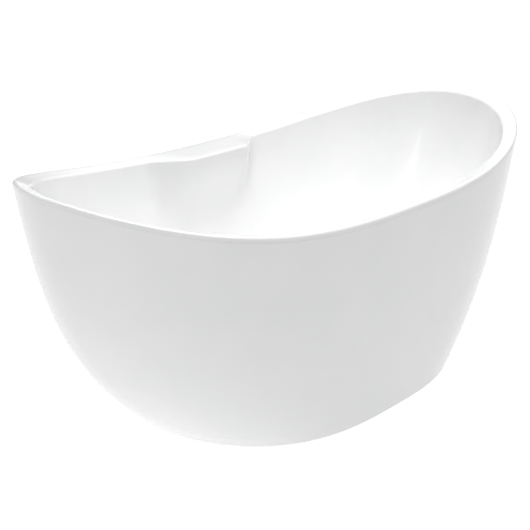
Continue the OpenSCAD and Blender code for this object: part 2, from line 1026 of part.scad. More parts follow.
// Screw cap that closes the bottom of the cup
module trap_cleanout_cap() {
    color(plastic)
        translate([trap_x, 0, 0])
            union() {
                ring(trap_r + cap_rim, trap_r + 0.1, cap_low + cap_t, cap_rim_h);
                translate([0, 0, cap_low])
                    cylinder(r = trap_r + cap_rim, h = cap_t);
            }
}

module cleanout_seal() {
    color(rubber)
        translate([trap_x, 0, 0])
            ring(trap_r - 0.2, trap_r - chamber_wall, cap_low + cap_t, cup_low - cap_low - cap_t);
}

// Bend that takes the water down to the drain in the floor
module outlet_elbow() {
    start = outlet_x - socket_l + 3;
    color(plastic)
        union() {
            difference() {
                rod_x(start, outlet_z, outlet_r, elbow_x - start);
                rod_x(start - 1, outlet_z, outlet_r - outlet_wall, elbow_x - start + 2);
            }
            translate([elbow_x, 0, outlet_z - elbow_bend])
                rotate([-90, 0, 0])
                    rotate([0, 0, -90])
                        rotate_extrude(angle = 90)
                            translate([elbow_bend, 0])
                                difference() {
                                    circle(outlet_r);
                                    circle(outlet_r - outlet_wall);
                                }
            translate([elbow_x + elbow_bend, 0, 0])
                ring(outlet_r, outlet_r - outlet_wall, elbow_low, outlet_z - elbow_bend - elbow_low);
        }
}

// ---- Overflow ----

// Dome that hides the overflow, open in slots round its edge, on a pin that presses into the spout
module overflow_cover() {
    color(chrome)
        at_overflow()
            union() {
                difference() {
                    rotate_extrude()
                        polygon([
                            [0, cover_h - cover_t], [cover_r - cover_t, cover_h - cover_t],
                            [cover_r - cover_t, 0.4], [cover_r, 0.4], [cover_r, cover_h - cover_t],
                            [cover_r - 1.5, cover_h - 1], [cover_r * 0.6, cover_h], [0, cover_h + 0.3]
                        ]);
                    for (a = [0 : 30 : 150])
                        rotate([0, 0, a + 15])
                            translate([cover_r - 7, -slot_w / 2, -0.6])
                                cube([10, slot_w, slot_h]);
                }
                translate([0, 0, -5])
                    cylinder(r = pin_r, h = cover_h + 2);
            }
}

// Threaded ring that clamps the wall between the bath and the elbow
module overflow_spout() {
    color(chrome)
        at_overflow()
            difference() {
                union() {
                    ring(spout_r + 6, spout_r - 3, 0.2, 2.3);
                    ring(spout_r, spout_r - 3, -16, 17);
                    spider(spout_r - 2, -6, 5);
                }
                translate([0, 0, -7])
                    cylinder(r = pin_r + press_fit, h = 8);
            }
}

module overflow_gasket() {
    color(rubber)
        at_overflow()
            ring(elbow_r, overflow_r + 1.5, -skin - overflow_seal_t, overflow_seal_t - seal_gap);
}

// Elbow behind the wall that turns the overflow down into the hose
module overflow_elbow() {
    back = -skin - overflow_seal_t - seal_gap - elbow_depth;
    barb_end = hose_nut_top_y + hose_nut_h;
    color(plastic)
        at_overflow()
            difference() {
                union() {
                    translate([0, 0, back])
                        cylinder(r = elbow_r, h = elbow_depth);
                    translate([0, 0, overflow_axis])
                        rotate([-90, 0, 0])
                            cylinder(r = hose_r + 0.5, h = hose_nut_top_y - 1);
                    translate([0, 0, overflow_axis])
                        rotate([-90, 0, 0])
                            cylinder(r = barb_r, h = barb_end);
                }
                translate([0, 0, back + 2.5])
                    cylinder(r = spout_r + 0.1, h = elbow_depth);
                translate([0, 0, overflow_axis])
                    rotate([-90, 0, 0])
                        cylinder(r = barb_r - barb_wall, h = barb_end + 1);
            }
}

// Point [y, z] on the axis of the overflow's outlet at a distance below the overflow's middle
function outlet_at(d) = [
    overflow_y + d * sin(overflow_tilt) + overflow_axis * cos(overflow_tilt),
    overflow_z - d * cos(overflow_tilt) + overflow_axis * sin(overflow_tilt)
];

hose_route = concat(
    [for (d = hose_lead) outlet_at(hose_nut_top_y + d)],
    [[-374.5, 340], [-365.5, 280], [-353, 220], [-336, 165], [-306, 118], [-262, 82], [-212, 63],
     [-150, 57], [-100, 57], [-52, 57]]
);

// Points of a smooth curve through the route, step points to each stretch
function smooth_route(p, steps) =
    let (n = len(p))
    concat(
        [for (i = [0 : n - 2], j = [0 : steps - 1])
            let (
                t = j / steps,
                a = p[max(0, i - 1)],
                b = p[i],
                c = p[i + 1],
                d = p[min(n - 1, i + 2)]
            )
            0.5 * (2 * b + (c - a) * t + (2 * a - 5 * b + 4 * c - d) * t * t
                + (3 * b - a - 3 * c + d) * t * t * t)],
        [p[n - 1]]
    );

// Hose in the plane x = 0, from the elbow down behind the basin and under it to the waste body
module overflow_hose() {
    line = smooth_route(hose_route, hose_steps);
    n = len(line);
    function ring_point(i, a, r) =
        let (t = unit(line[min(n - 1, i + 1)] - line[max(0, i - 1)]))
        [r * cos(a), line[i][0] - t[1] * r * sin(a), line[i][1] + t[0] * r * sin(a)];
    color(plastic)
        skin_of([for (k = [0 : hose_sides - 1])
            let (a = 360 * k / hose_sides)
            concat(
                [for (i = [0 : n - 1]) ring_point(i, a, hose_r)],
                [for (i = [n - 1 : -1 : 0]) ring_point(i, a, hose_r - hose_wall)]
            )
        ]);
}

module hose_nut() {
    ring(hose_r + 0.2 + hose_nut_wall, hose_r + 0.2, 0, hose_nut_h);
}

module hose_nut_top() {
    color(plastic)
        at_overflow()
            translate([0, hose_nut_top_y, overflow_axis])
                rotate([-90, 0, 0])
                    hose_nut();
}

module hose_nut_bottom() {
    color(plastic)
        translate([0, -branch_l - 2, branch_z])
            rotate([90, 0, 0])
                hose_nut();
}

outer_shell();
basin();
basin_laminate();
rim_bond();
ledge_board();
base_board();
cross_rail_left();
cross_rail_right();
long_rail_front();
long_rail_back();
rail_cleats();
rail_screws();
skirt_blocks();
skirt_brackets();
skirt_screws();
weld_nuts();
lock_nuts();
foot_pad_1();
foot_pad_2();
foot_pad_3();
foot_pad_4();
foot_stud_1();
foot_stud_2();
foot_stud_3();
foot_stud_4();
waste_flange();
flange_gasket();
click_cartridge();
waste_plug();
plug_stem();
plug_seal();
lower_gasket();
waste_body();
trap_body();
trap_inlet_nut();
trap_inlet_seal();
trap_cleanout_cap();
cleanout_seal();
outlet_nut();
outlet_seal();
outlet_elbow();
overflow_cover();
overflow_spout();
overflow_gasket();
overflow_elbow();
overflow_hose();
hose_nut_top();
hose_nut_bottom();
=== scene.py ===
import json
import math

import bmesh
import bpy
import numpy as np
from mathutils import Matrix, Vector, noise

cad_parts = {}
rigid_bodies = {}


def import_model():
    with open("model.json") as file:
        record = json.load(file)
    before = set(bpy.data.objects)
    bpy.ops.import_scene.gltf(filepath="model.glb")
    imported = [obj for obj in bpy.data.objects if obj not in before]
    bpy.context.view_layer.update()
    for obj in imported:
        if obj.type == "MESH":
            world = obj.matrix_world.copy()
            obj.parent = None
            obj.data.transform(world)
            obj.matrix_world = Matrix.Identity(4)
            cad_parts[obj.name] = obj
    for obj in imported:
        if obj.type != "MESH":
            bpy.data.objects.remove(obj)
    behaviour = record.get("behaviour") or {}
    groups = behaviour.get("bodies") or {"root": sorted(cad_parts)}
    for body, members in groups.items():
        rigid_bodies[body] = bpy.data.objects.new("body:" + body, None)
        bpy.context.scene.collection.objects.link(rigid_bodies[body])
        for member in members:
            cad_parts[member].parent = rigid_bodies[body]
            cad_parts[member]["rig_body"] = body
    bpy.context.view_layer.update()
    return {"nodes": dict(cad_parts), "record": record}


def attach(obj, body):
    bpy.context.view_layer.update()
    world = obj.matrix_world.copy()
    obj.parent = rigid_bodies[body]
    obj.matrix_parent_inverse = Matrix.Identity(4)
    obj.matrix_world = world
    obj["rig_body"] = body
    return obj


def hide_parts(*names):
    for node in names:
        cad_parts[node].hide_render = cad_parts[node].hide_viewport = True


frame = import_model()
NODES = frame["nodes"]

# ---- the bath's numbers, the same as in part.scad, in millimetres and degrees
HALF_L, HALF_W = 800.0, 415.0
BASE_A, BASE_B = 512.0, 381.5
FLOOR_A, FLOOR_B = 440.0, 215.0
RIM_P, BASE_P, FLOOR_P = (3.32, 2.0), (2.9, 1.7), (2.6, 2.0)
RIM_MID, RIM_END, RIM_CLIMB = 580.0, 700.0, 2.48
SKIRT_GAP, SKIN = 3.0, 5.0
RIM_W, RIM_R, RIM_IN_R, RIM_FALL = 42.0, 8.0, 7.0, 7.0
LEDGE_W, LEDGE_HALF, LEDGE_BLEND, LEDGE_DROP = 122.0, 95.0, 125.0, 220.0
END_LEAN, END_BOW = 0.267, 3.32
WALL_LEAN, SWEEP_SIDE, SWEEP_END, WALL_SPREAD = 0.25, 2.7, 2.1, 1.6
FLOOR_Z, FLOOR_FALL = 122.0, 3.0
LIP, SEAM, BOND_GAP, LAMINATE = 14.0, 0.3, 0.4, 4.0
RECESS_R, RECESS_SLOPE, WASTE_SEAT, WASTE_R = 42.0, 4.0, 115.0, 26.0
OVERFLOW_Z, OVERFLOW_R = 480.0, 24.0
LAMINATE_HOLE_R, BOND_TOP, BOND_BOTTOM, BOND_T = 60.0, 9.0, 30.0, 4.0
CROWDING = 8.0
# steps for the skins' slopes: round the bath, up the skirt and up the basin's wall
STEP_ROUND, STEP_SKIRT, STEP_WALL = math.radians(1), 0.01, 0.02


def columns(n):
    a = 2 * np.pi * np.arange(n) / n
    return a + math.radians(CROWDING) * np.sin(2 * a)


def ease(t):
    c = np.clip(t, 0, 1)
    return c * c * (3 - 2 * c)


def outline(a, b, p, q):
    c, s = np.cos(q), np.sin(q)
    s = np.where(np.abs(s) < 1e-12, 0, s)
    return np.stack([a * c, np.sign(s) * b * np.maximum(0, 1 - np.abs(c) ** p[0]) ** (1 / p[1])], -1)


def rim_outline(q):
    return outline(HALF_L, HALF_W, RIM_P, q)


def rim_z(x):
    share = np.minimum(1, np.abs(x) / (HALF_L - RIM_R))
    return RIM_MID + (RIM_END - RIM_MID) * share**RIM_CLIMB


def unit(v):
    return v / np.linalg.norm(v, axis=-1, keepdims=True)


def inward(q):
    t = unit(rim_outline(q + STEP_ROUND) - rim_outline(q - STEP_ROUND))
    return np.stack([-t[..., 1], t[..., 0]], -1)


def outer_at(q, s):
    top, low = rim_outline(q), outline(BASE_A, BASE_B, BASE_P, q)
    f = END_LEAN * s + (1 - END_LEAN) * (1 - (1 - s) ** END_BOW)
    x = low[..., 0] + (top[..., 0] - low[..., 0]) * f
    y = low[..., 1] + (top[..., 1] - low[..., 1]) * s
    return np.stack([x, y, s * (rim_z(top[..., 0]) - RIM_R)], -1)


def outer_inset(q, s, depth):
    """The skirt's surface moved inwards at the same height, by a depth measured square to it."""
    c = np.minimum(1 - 2 * STEP_SKIRT, s)
    along = outer_at(q + STEP_ROUND, c) - outer_at(q - STEP_ROUND, c)
    n = unit(np.cross(along, outer_at(q, c + STEP_SKIRT) - outer_at(q, c - STEP_SKIRT)))
    h2 = n[..., 0] ** 2 + n[..., 1] ** 2
    p = outer_at(q, s)
    p[..., 0] -= n[..., 0] * depth / h2
    p[..., 1] -= n[..., 1] * depth / h2
    return p


def share_at(q, z):
    return z / (rim_z(rim_outline(q)[..., 0]) - RIM_R)


def share_below_rim(q, drop):
    return 1 - share_at(q, drop - RIM_R)


def rim_width(q):
    p = rim_outline(q)
    wide = RIM_W + (LEDGE_W - RIM_W) * (1 - ease((np.abs(p[..., 0]) - LEDGE_HALF) / LEDGE_BLEND))
    return np.where(p[..., 1] <= 0, RIM_W, wide)


def rim_slope(q):
    """How much the rim falls towards the basin for each millimetre of its width; the ledge is level."""
    w = rim_width(q)
    return RIM_FALL * (LEDGE_W - w) / (LEDGE_W - RIM_W) / (w - RIM_R)


def rim_at(q, d, h):
    p = rim_outline(q) + np.asarray(d)[..., None] * inward(q)
    return np.stack([p[..., 0], p[..., 1], rim_z(p[..., 0]) + h], -1)


def wall_at(q, k):
    low = outline(FLOOR_A, FLOOR_B, FLOOR_P, q)
    e = 2 / (SWEEP_SIDE + (SWEEP_END - SWEEP_SIDE) * np.cos(q) ** 2)
    turned = np.pi / 2 * (1 - np.minimum(1, k) ** WALL_SPREAD)
    s = 1 - np.maximum(0, np.cos(turned)) ** e
    f = (1 - WALL_LEAN) * np.sin(turned) ** e + WALL_LEAN * s
    drop = (1 - s) * (RIM_MID - RIM_IN_R - FLOOR_Z)
    wide = rim_width(q)
    edge = RIM_W + (wide - RIM_W) * (1 - ease(drop / LEDGE_DROP))
    top = rim_at(q, edge, -RIM_IN_R - rim_slope(q) * (wide - RIM_R))
    xy = low + (top[..., :2] - low) * f[..., None]
    return np.concatenate([xy, (FLOOR_Z + (top[..., 2] - FLOOR_Z) * s)[..., None]], -1)


def wall_offset(q, k, depth):
    c = min(1 - STEP_WALL, max(STEP_WALL, k))
    along = wall_at(q + STEP_ROUND, c) - wall_at(q - STEP_ROUND, c)
    n = unit(np.cross(along, wall_at(q, c - STEP_WALL) - wall_at(q, c + STEP_WALL)))
    return wall_at(q, k) + n * depth


def floor_at(q, g, r, drop=0.0):
    a = outline(FLOOR_A, FLOOR_B, FLOOR_P, q)
    ring = np.stack([r * np.cos(q), r * np.sin(q)], -1)
    xy = a + (ring - a) * g
    return np.concatenate([xy, np.full(q.shape + (1,), FLOOR_Z - FLOOR_FALL * g - drop)], -1)


def ring_at(q, r, z):
    return np.stack([r * np.cos(q), r * np.sin(q), np.full_like(q, z)], -1)


# ---- mesh helpers
def mesh_object(name, verts, faces, sharp=35.0):
    """A new object from points in millimetres, smooth but for edges sharper than an angle."""
    mesh = bpy.data.meshes.new(name)
    mesh.from_pydata([tuple(v) for v in np.asarray(verts, float) * 0.001], [], [tuple(f) for f in faces])
    mesh.validate()
    obj = bpy.data.objects.new(name, mesh)
    bpy.context.scene.collection.objects.link(obj)
    bm = bmesh.new()
    bm.from_mesh(mesh)
    bmesh.ops.remove_doubles(bm, verts=bm.verts, dist=1e-6)
    bmesh.ops.recalc_face_normals(bm, faces=bm.faces)
    bm.to_mesh(mesh)
    bm.free()
    finish_normals(obj, sharp)
    return obj


def finish_normals(obj, sharp=35.0):
    mesh = obj.data
    mesh.polygons.foreach_set("use_smooth", [True] * len(mesh.polygons))
    mesh.set_sharp_from_angle(angle=math.radians(sharp))


def grid_faces(n, m, wrap_n=True):
    """Faces between n closed rows of m points; wrap_n joins the last row to the first."""
    out = []
    for i in range(n if wrap_n else n - 1):
        for j in range(m):
            after, beside = (i + 1) % n, (j + 1) % m
            out.append((i * m + j, i * m + beside, after * m + beside, after * m + j))
    return out


def skin(name, rows, sharp):
    """A closed skin from rows of points: rows[j] holds the points of every column."""
    pts = np.stack(rows, 1)
    n, m = pts.shape[:2]
    return mesh_object(name, pts.reshape(-1, 3), grid_faces(n, m), sharp)


ON_AXIS = 1e-9


def fillet(profile, radius, steps=3):
    """A closed profile with each of its corners rounded to a radius, or to less on a short side.
    Points on the axis and corners that hardly turn stay as they are."""
    p = [np.array(v, float) for v in profile]
    out = []
    for i, b in enumerate(p):
        a, c = p[i - 1], p[(i + 1) % len(p)]
        u, v = a - b, c - b
        lu, lv = np.linalg.norm(u), np.linalg.norm(v)
        if min(lu, lv, abs(b[0])) < ON_AXIS:
            out.append(b)
            continue
        u, v = u / lu, v / lv
        half = math.acos(max(-1, min(1, float(u @ v)))) / 2
        if half > math.radians(80):
            out.append(b)
            continue
        cut = min(radius / math.tan(half), 0.45 * lu, 0.45 * lv)
        r = cut * math.tan(half)
        centre = b + unit(u + v) * (r / math.sin(half))
        start, end = b + u * cut - centre, b + v * cut - centre
        for t in np.arange(steps + 1) / steps:
            out.append(centre + unit(start * (1 - t) + end * t) * r)
    return out


def lathe_data(profile, segments=64, radius_at=None):
    """Vertices and faces of a closed profile (r, z) turned round the z axis."""
    verts, faces, index = [], [], []
    for r, z in profile:
        if abs(r) < ON_AXIS:
            index.append([len(verts)] * segments)
            verts.append((0, 0, z))
            continue
        row = []
        for k in range(segments):
            a = 2 * math.pi * k / segments
            rr = radius_at(a, r, z) if radius_at else r
            row.append(len(verts))
            verts.append((rr * math.cos(a), rr * math.sin(a), z))
        index.append(row)
    m = len(index)
    for i in range(m):
        a, b = index[i], index[(i + 1) % m]
        for k in range(segments):
            f = [a[k], a[(k + 1) % segments], b[(k + 1) % segments], b[k]]
            f = [v for n, v in enumerate(f) if v not in f[:n]]
            if len(f) > 2:
                faces.append(tuple(f))
    return np.array(verts, float), faces


def drill(r, z0, z1, segments=64):
    """A plain cylinder, to cut a hole with."""
    return lathe_data([(0, z0), (r, z0), (r, z1), (0, z1)], segments)


def placed(data, matrix):
    verts, faces = data
    m = np.array(matrix, float)
    return verts @ m[:3, :3].T + m[:3, 3], faces


def joined(parts):
    verts, faces, n = [], [], 0
    for v, f in parts:
        verts.append(v)
        faces += [tuple(i + n for i in face) for face in f]
        n += len(v)
    return np.concatenate(verts), faces


def move(x, y, z):
    return Matrix.Translation((x, y, z))


def turn(deg, axis):
    return Matrix.Rotation(math.radians(deg), 4, axis)


def build(name, parts, sharp=35.0):
    return mesh_object(name, *joined(parts), sharp)


def tool(data, at):
    return build("tool", [placed(data, at)])


def combine(obj, kind, tools):
    """Joins closed tool objects to obj or cuts them out of it, and deletes them."""
    for tool in tools:
        mod = obj.modifiers.new("solid", "BOOLEAN")
        mod.operation, mod.object, mod.solver = kind, tool, "EXACT"
    bpy.context.view_layer.update()
    solved = obj.evaluated_get(bpy.context.evaluated_depsgraph_get())
    mesh = bpy.data.meshes.new_from_object(solved)
    obj.modifiers.clear()
    obj.data = mesh
    for tool in tools:
        bpy.data.objects.remove(tool)


def cut(obj, tools):
    combine(obj, "DIFFERENCE", tools)
    finish_normals(obj)
    return obj


# ---- materials
class Nodes:
    """A short way to write a node material on the Principled shader."""

    def __init__(self, name):
        self.mat = bpy.data.materials.new(name)
        self.mat.use_nodes = True
        self.tree = self.mat.node_tree
        self.bsdf = self.tree.nodes["Principled BSDF"]
        self.coord = self.tree.nodes.new("ShaderNodeTexCoord")

    def add(self, kind, **inputs):
        node = self.tree.nodes.new(kind)
        for key, value in inputs.items():
            if key in node.inputs:
                self.put(node.inputs[key], value)
            else:
                setattr(node, key, value)
        return node

    def put(self, socket, value):
        if isinstance(value, bpy.types.NodeSocket):
            self.tree.links.new(value, socket)
        else:
            socket.default_value = value

    def place(self, scale=(1, 1, 1), turned=(0, 0, 0)):
        node = self.add("ShaderNodeMapping", Vector=self.coord.outputs["Object"])
        node.inputs["Scale"].default_value = scale
        node.inputs["Rotation"].default_value = turned
        return node.outputs[0]

    def noise(self, vector, scale, detail=3.0, rough=0.5):
        node = self.add("ShaderNodeTexNoise", Vector=vector, Scale=scale, Detail=detail, Roughness=rough)
        return node.outputs["Fac"]

    def ramp(self, fac, stops):
        node = self.add("ShaderNodeValToRGB", Fac=fac)
        ramp = node.color_ramp
        while len(ramp.elements) < len(stops):
            ramp.elements.new(0.5)
        for e, (at, colour) in zip(ramp.elements, stops):
            e.position = at
            e.color = (*colour, 1)
        return node.outputs["Color"]

    def span(self, fac, low, high):
        node = self.add("ShaderNodeMapRange", Value=fac)
        node.inputs["To Min"].default_value = low
        node.inputs["To Max"].default_value = high
        return node.outputs["Result"]

    def bump(self, height, strength, distance):
        node = self.add("ShaderNodeBump", Height=height, Strength=strength, Distance=distance)
        return node.outputs["Normal"]

    def set(self, **values):
        for key, value in values.items():
            self.put(self.bsdf.inputs[key.replace("_", " ")], value)
        return self.mat


def acrylic():
    n = Nodes("acrylic_gloss")
    v = n.place()
    cloud = n.noise(v, 6.0, 2.0)
    return n.set(
        Base_Color=n.ramp(cloud, [(0.3, (0.935, 0.937, 0.940)), (0.7, (0.955, 0.955, 0.953))]),
        Roughness=n.span(n.noise(v, 40.0, 4.0), 0.16, 0.24),
        Normal=n.bump(n.noise(v, 180.0, 2.0), 0.06, 0.0004),
        Coat_Weight=0.35,
        Coat_Roughness=0.06,
    )


def resin():
    n = Nodes("glass_fibre")
    strands = n.noise(n.place((1, 1, 6), (0.4, 0.9, 0.3)), 120.0, 6.0, 0.7)
    crossed = n.noise(n.place((6, 1, 1), (0.2, 0.5, 1.1)), 120.0, 6.0, 0.7)
    mix = n.add("ShaderNodeMath", operation="MAXIMUM")
    n.put(mix.inputs[0], strands)
    n.put(mix.inputs[1], crossed)
    both = mix.outputs[0]
    return n.set(
        Base_Color=n.ramp(both, [
            (0.42, (0.50, 0.50, 0.36)), (0.6, (0.66, 0.66, 0.52)), (0.75, (0.80, 0.80, 0.70)),
        ]),
        Roughness=n.span(both, 0.75, 0.35),
        Normal=n.bump(both, 0.8, 0.002),
    )


def paste():
    n = Nodes("bonding_paste")
    lumps = n.noise(n.place(), 60.0, 5.0, 0.6)
    return n.set(
        Base_Color=n.ramp(lumps, [(0.3, (0.60, 0.59, 0.50)), (0.7, (0.72, 0.71, 0.62))]),
        Roughness=n.span(lumps, 0.7, 0.5),
        Normal=n.bump(lumps, 0.6, 0.002),
    )


def plywood():
    n = Nodes("plywood")
    grain = n.noise(n.place((3, 60, 60)), 4.0, 8.0, 0.6)
    plies = n.add("ShaderNodeTexWave", Vector=n.place((0.02, 0.02, 1.0)), Scale=105.0, Distortion=0.6)
    plies.bands_direction = "Z"
    tone = n.ramp(grain, [
        (0.3, (0.46, 0.31, 0.16)), (0.55, (0.62, 0.45, 0.26)), (0.75, (0.72, 0.56, 0.36)),
    ])
    layer = n.ramp(plies.outputs["Fac"], [(0.35, (0.62, 0.55, 0.48)), (0.6, (1.0, 1.0, 1.0))])
    mix = n.add("ShaderNodeMix", data_type="RGBA", blend_type="MULTIPLY")
    n.put(mix.inputs[0], 0.55)
    n.put(mix.inputs[6], tone)
    n.put(mix.inputs[7], layer)
    return n.set(
        Base_Color=mix.outputs[2],
        Roughness=n.span(grain, 0.78, 0.6),
        Normal=n.bump(grain, 0.3, 0.0006),
    )


def galvanised():
    n = Nodes("galvanised_steel")
    cells = n.add("ShaderNodeTexVoronoi", Vector=n.place(), Scale=110.0)
    shade = n.add("ShaderNodeSeparateColor", Color=cells.outputs["Color"]).outputs[0]
    streak = n.noise(n.place((4, 40, 40)), 6.0, 4.0)
    return n.set(
        Base_Color=n.ramp(shade, [(0.0, (0.46, 0.48, 0.50)), (1.0, (0.66, 0.68, 0.70))]),
        Metallic=1.0,
        Roughness=n.span(shade, 0.38, 0.55),
        Normal=n.bump(streak, 0.15, 0.0004),
    )


def zinc():
    n = Nodes("zinc_plate")
    v = n.place()
    cloud = n.noise(v, 55.0, 5.0, 0.6)
    return n.set(
        Base_Color=n.ramp(cloud, [
            (0.3, (0.56, 0.57, 0.55)), (0.6, (0.72, 0.71, 0.66)), (0.8, (0.66, 0.68, 0.70)),
        ]),
        Metallic=1.0,
        Roughness=n.span(cloud, 0.24, 0.4),
        Normal=n.bump(n.noise(v, 600.0, 2.0), 0.1, 0.0002),
    )


def chrome():
    n = Nodes("polished_chrome")
    smear = n.noise(n.place(), 45.0, 5.0, 0.6)
    return n.set(
        Base_Color=n.ramp(smear, [(0.3, (0.83, 0.84, 0.86)), (0.7, (0.88, 0.89, 0.90))]),
        Metallic=1.0,
        Roughness=n.span(smear, 0.04, 0.10),
    )


def plastic(name, low, high, rough=(0.35, 0.5), grain=900.0, depth=0.1):
    n = Nodes(name)
    v = n.place()
    cloud = n.noise(v, 30.0, 4.0)
    return n.set(
        Base_Color=n.ramp(cloud, [(0.3, low), (0.7, high)]),
        Roughness=n.span(cloud, *rough),
        Normal=n.bump(n.noise(v, grain, 2.0), depth, 0.0003),
    )


SLOT_MATERIAL = {
    "acrylic": acrylic(),
    "glass_fibre": resin(),
    "bonding_paste": paste(),
    "plywood": plywood(),
    "galvanised_steel": galvanised(),
    "zinc_steel": zinc(),
    "chrome": chrome(),
    "white_plastic": plastic("white_moulding", (0.78, 0.78, 0.76), (0.84, 0.84, 0.82)),
    "foot_plastic": plastic("black_moulding", (0.028, 0.028, 0.030), (0.045, 0.045, 0.048), (0.5, 0.65)),
    "rubber": plastic(
        "rubber_seal", (0.018, 0.018, 0.018), (0.032, 0.032, 0.032), (0.75, 0.9), grain=400.0, depth=0.3
    ),
    "hose_plastic": plastic("hose_moulding", (0.66, 0.67, 0.66), (0.74, 0.75, 0.74), (0.4, 0.55)),
}
SLOT_OF = {part["node"]: part["material_slot"] for part in frame["record"]["subparts"]}


def piece(obj, node):
    """Lets obj stand for a CAD node: the same body, slot and material."""
    obj.data.materials.clear()
    obj.data.materials.append(SLOT_MATERIAL[SLOT_OF[node]])
    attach(obj, NODES[node]["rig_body"])
    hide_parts(node)


def made(name, node, *shapes, sharp=35.0):
    """Builds an object from shapes and lets it stand for a CAD node."""
    piece(build(name, shapes, sharp), node)


# ---- the basin, the skirt and what joins them
COLS = 360
Q = columns(COLS)


def spread(n):
    return np.linspace(0, 1, n)


def shell():
    low, high = share_at(Q, SKIRT_GAP), share_below_rim(Q, LIP + SEAM)
    fine = spread(46)
    rows = [outer_at(Q, low + (high - low) * t) for t in fine]
    back = [outer_inset(Q, low + (high - low) * t, SKIN) for t in fine[::-1][::2]]
    return skin("bath_skirt", rows + back, 50)


def rim_rows(q, d):
    """The rim's section from its outer edge to the basin's wall, d inside its surface."""
    r, ri, inner, slope = RIM_R - d, RIM_IN_R - d, rim_width(q) - RIM_IN_R, rim_slope(q)
    out = []
    for a in np.radians(np.arange(0, 91, 7.5)):
        out.append(rim_at(q, RIM_R - r * math.cos(a), -RIM_R + r * math.sin(a)))
    if d == 0:
        for t in (0.25, 0.5, 0.75):
            run = (inner - RIM_R) * t
            out.append(rim_at(q, RIM_R + run, -slope * run))
    for a in np.radians(np.arange(0, 90, 7.5)):
        into = inner + ri * math.sin(a)
        out.append(rim_at(q, into, -RIM_IN_R + ri * math.cos(a) - slope * (into - RIM_R)))
    return out


def basin():
    lip = share_below_rim(Q, LIP)
    edge = RECESS_R + RECESS_SLOPE
    top = [outer_at(Q, lip)] + rim_rows(Q, 0)
    top += [wall_at(Q, k) for k in spread(56)]
    top += [floor_at(Q, g, edge) for g in spread(10)[1:]]
    for t in spread(6)[1:]:
        top.append(ring_at(Q, edge - RECESS_SLOPE * t, FLOOR_Z - FLOOR_FALL - 4 * float(ease(t))))
    top += [ring_at(Q, WASTE_R + 1, WASTE_SEAT), ring_at(Q, WASTE_R, WASTE_SEAT - 1)]
    under = [outer_inset(Q, lip, SKIN)] + rim_rows(Q, SKIN)
    under += [wall_offset(Q, k, SKIN) for k in spread(28)]
    under += [floor_at(Q, g, edge, SKIN) for g in spread(7)[1:]]
    under += [ring_at(Q, RECESS_R, WASTE_SEAT - SKIN), ring_at(Q, WASTE_R, WASTE_SEAT - SKIN)]
    return skin("bath_basin", top + under[::-1], 50)


# points of the wall's section in the middle of the near side
SECTION = spread(4001)
SECTION_P = wall_at(np.full_like(SECTION, -np.pi / 2), SECTION)


def front_wall_y(z):
    return float(np.interp(z, SECTION_P[::-1, 2], SECTION_P[::-1, 1]))


# the overflow's own frame: its origin in the wall's surface, its Z axis square to the wall
TILT_SPAN = 10
TILT_RUN = front_wall_y(OVERFLOW_Z - TILT_SPAN) - front_wall_y(OVERFLOW_Z + TILT_SPAN)
TILT = math.degrees(math.atan(TILT_RUN / (2 * TILT_SPAN)))
AT_OVERFLOW = move(0, front_wall_y(OVERFLOW_Z), OVERFLOW_Z) @ turn(TILT - 90, "X")


def hole_tool(r, reach=40):
    return tool(drill(r, -reach, reach, 96), AT_OVERFLOW)


def wander(points, size):
    """A smooth noise value for each point, from -1 to 1, at a grain size in millimetres."""
    values = [noise.noise(Vector(v) / size) for v in points.reshape(-1, 3)]
    return np.array(values).reshape(points.shape[:-1])


def laminate():
    """Hand-laid glass fibre: even where it meets the basin, lumpy on its free side."""
    q = columns(240)
    edge = RECESS_R + RECESS_SLOPE
    last = (1 - LAMINATE_HOLE_R / FLOOR_B) / (1 - edge / FLOOR_B)

    def layer(depth):
        rows = [wall_offset(q, k, depth) for k in np.linspace(1 / 12, 1, 40)]
        rows += [floor_at(q, g * last, edge, depth) for g in spread(9)[1:]]
        hole = ring_at(q, LAMINATE_HOLE_R, 0)
        hole[:, 2] = rows[-1][:, 2]
        return rows + [hole]

    top, back = layer(SKIN + BOND_GAP), layer(SKIN + BOND_GAP + LAMINATE)
    for row, front in zip(back, top):
        lump = 0.16 * wander(row, 16.0) + 0.12 * wander(row, 5.0) - 0.12
        row += (row - front) * lump[:, None]
    return skin("fibre_laminate", top + back[::-1], 50)


def bond_bead():
    """Bead of paste squeezed in behind the seam, its free face uneven."""
    q = columns(480)
    high, low = share_below_rim(q, BOND_TOP), share_below_rim(q, BOND_BOTTOM)
    depth = SKIN + BOND_GAP
    rows = [outer_inset(q, low, depth), outer_inset(q, high, depth)]
    for t in spread(7):
        share = high + (low - high) * (0.04 + 0.92 * t)
        front, row = outer_inset(q, share, depth), outer_inset(q, share, depth + BOND_T)
        swell = 1 - 0.45 * abs(2 * t - 1) ** 3 + 0.22 * wander(row, 11.0) - 0.2
        rows.append(front + (row - front) * swell[:, None])
    return skin("bond_bead", rows, 60)


piece(shell(), "outer_shell")
piece(cut(basin(), [hole_tool(OVERFLOW_R + 1)]), "basin")
piece(cut(laminate(), [hole_tool(OVERFLOW_R + 8)]), "basin_laminate")
piece(bond_bead(), "rim_bond")

# ---- shapes that the fittings share
def lathe(profile, radius=0.4, segments=72, at=None, radius_at=None):
    data = lathe_data(fillet(profile, radius), segments, radius_at)
    return placed(data, at) if at is not None else data


def rod(r, z0, z1, radius, segments, at=None):
    return lathe([(0, z0), (r, z0), (r, z1), (0, z1)], radius, segments, at)


def ring(r_out, r_in, z, h, radius, segments, at=None):
    profile = [(r_in, z), (r_out, z), (r_out, z + h), (r_in, z + h)]
    return lathe(profile, radius, segments, at)


def along_x(x, z):
    """Stands a shape's +Z along +X, with its foot at x in the plane y = 0."""
    return move(x, 0, z) @ turn(90, "Y")


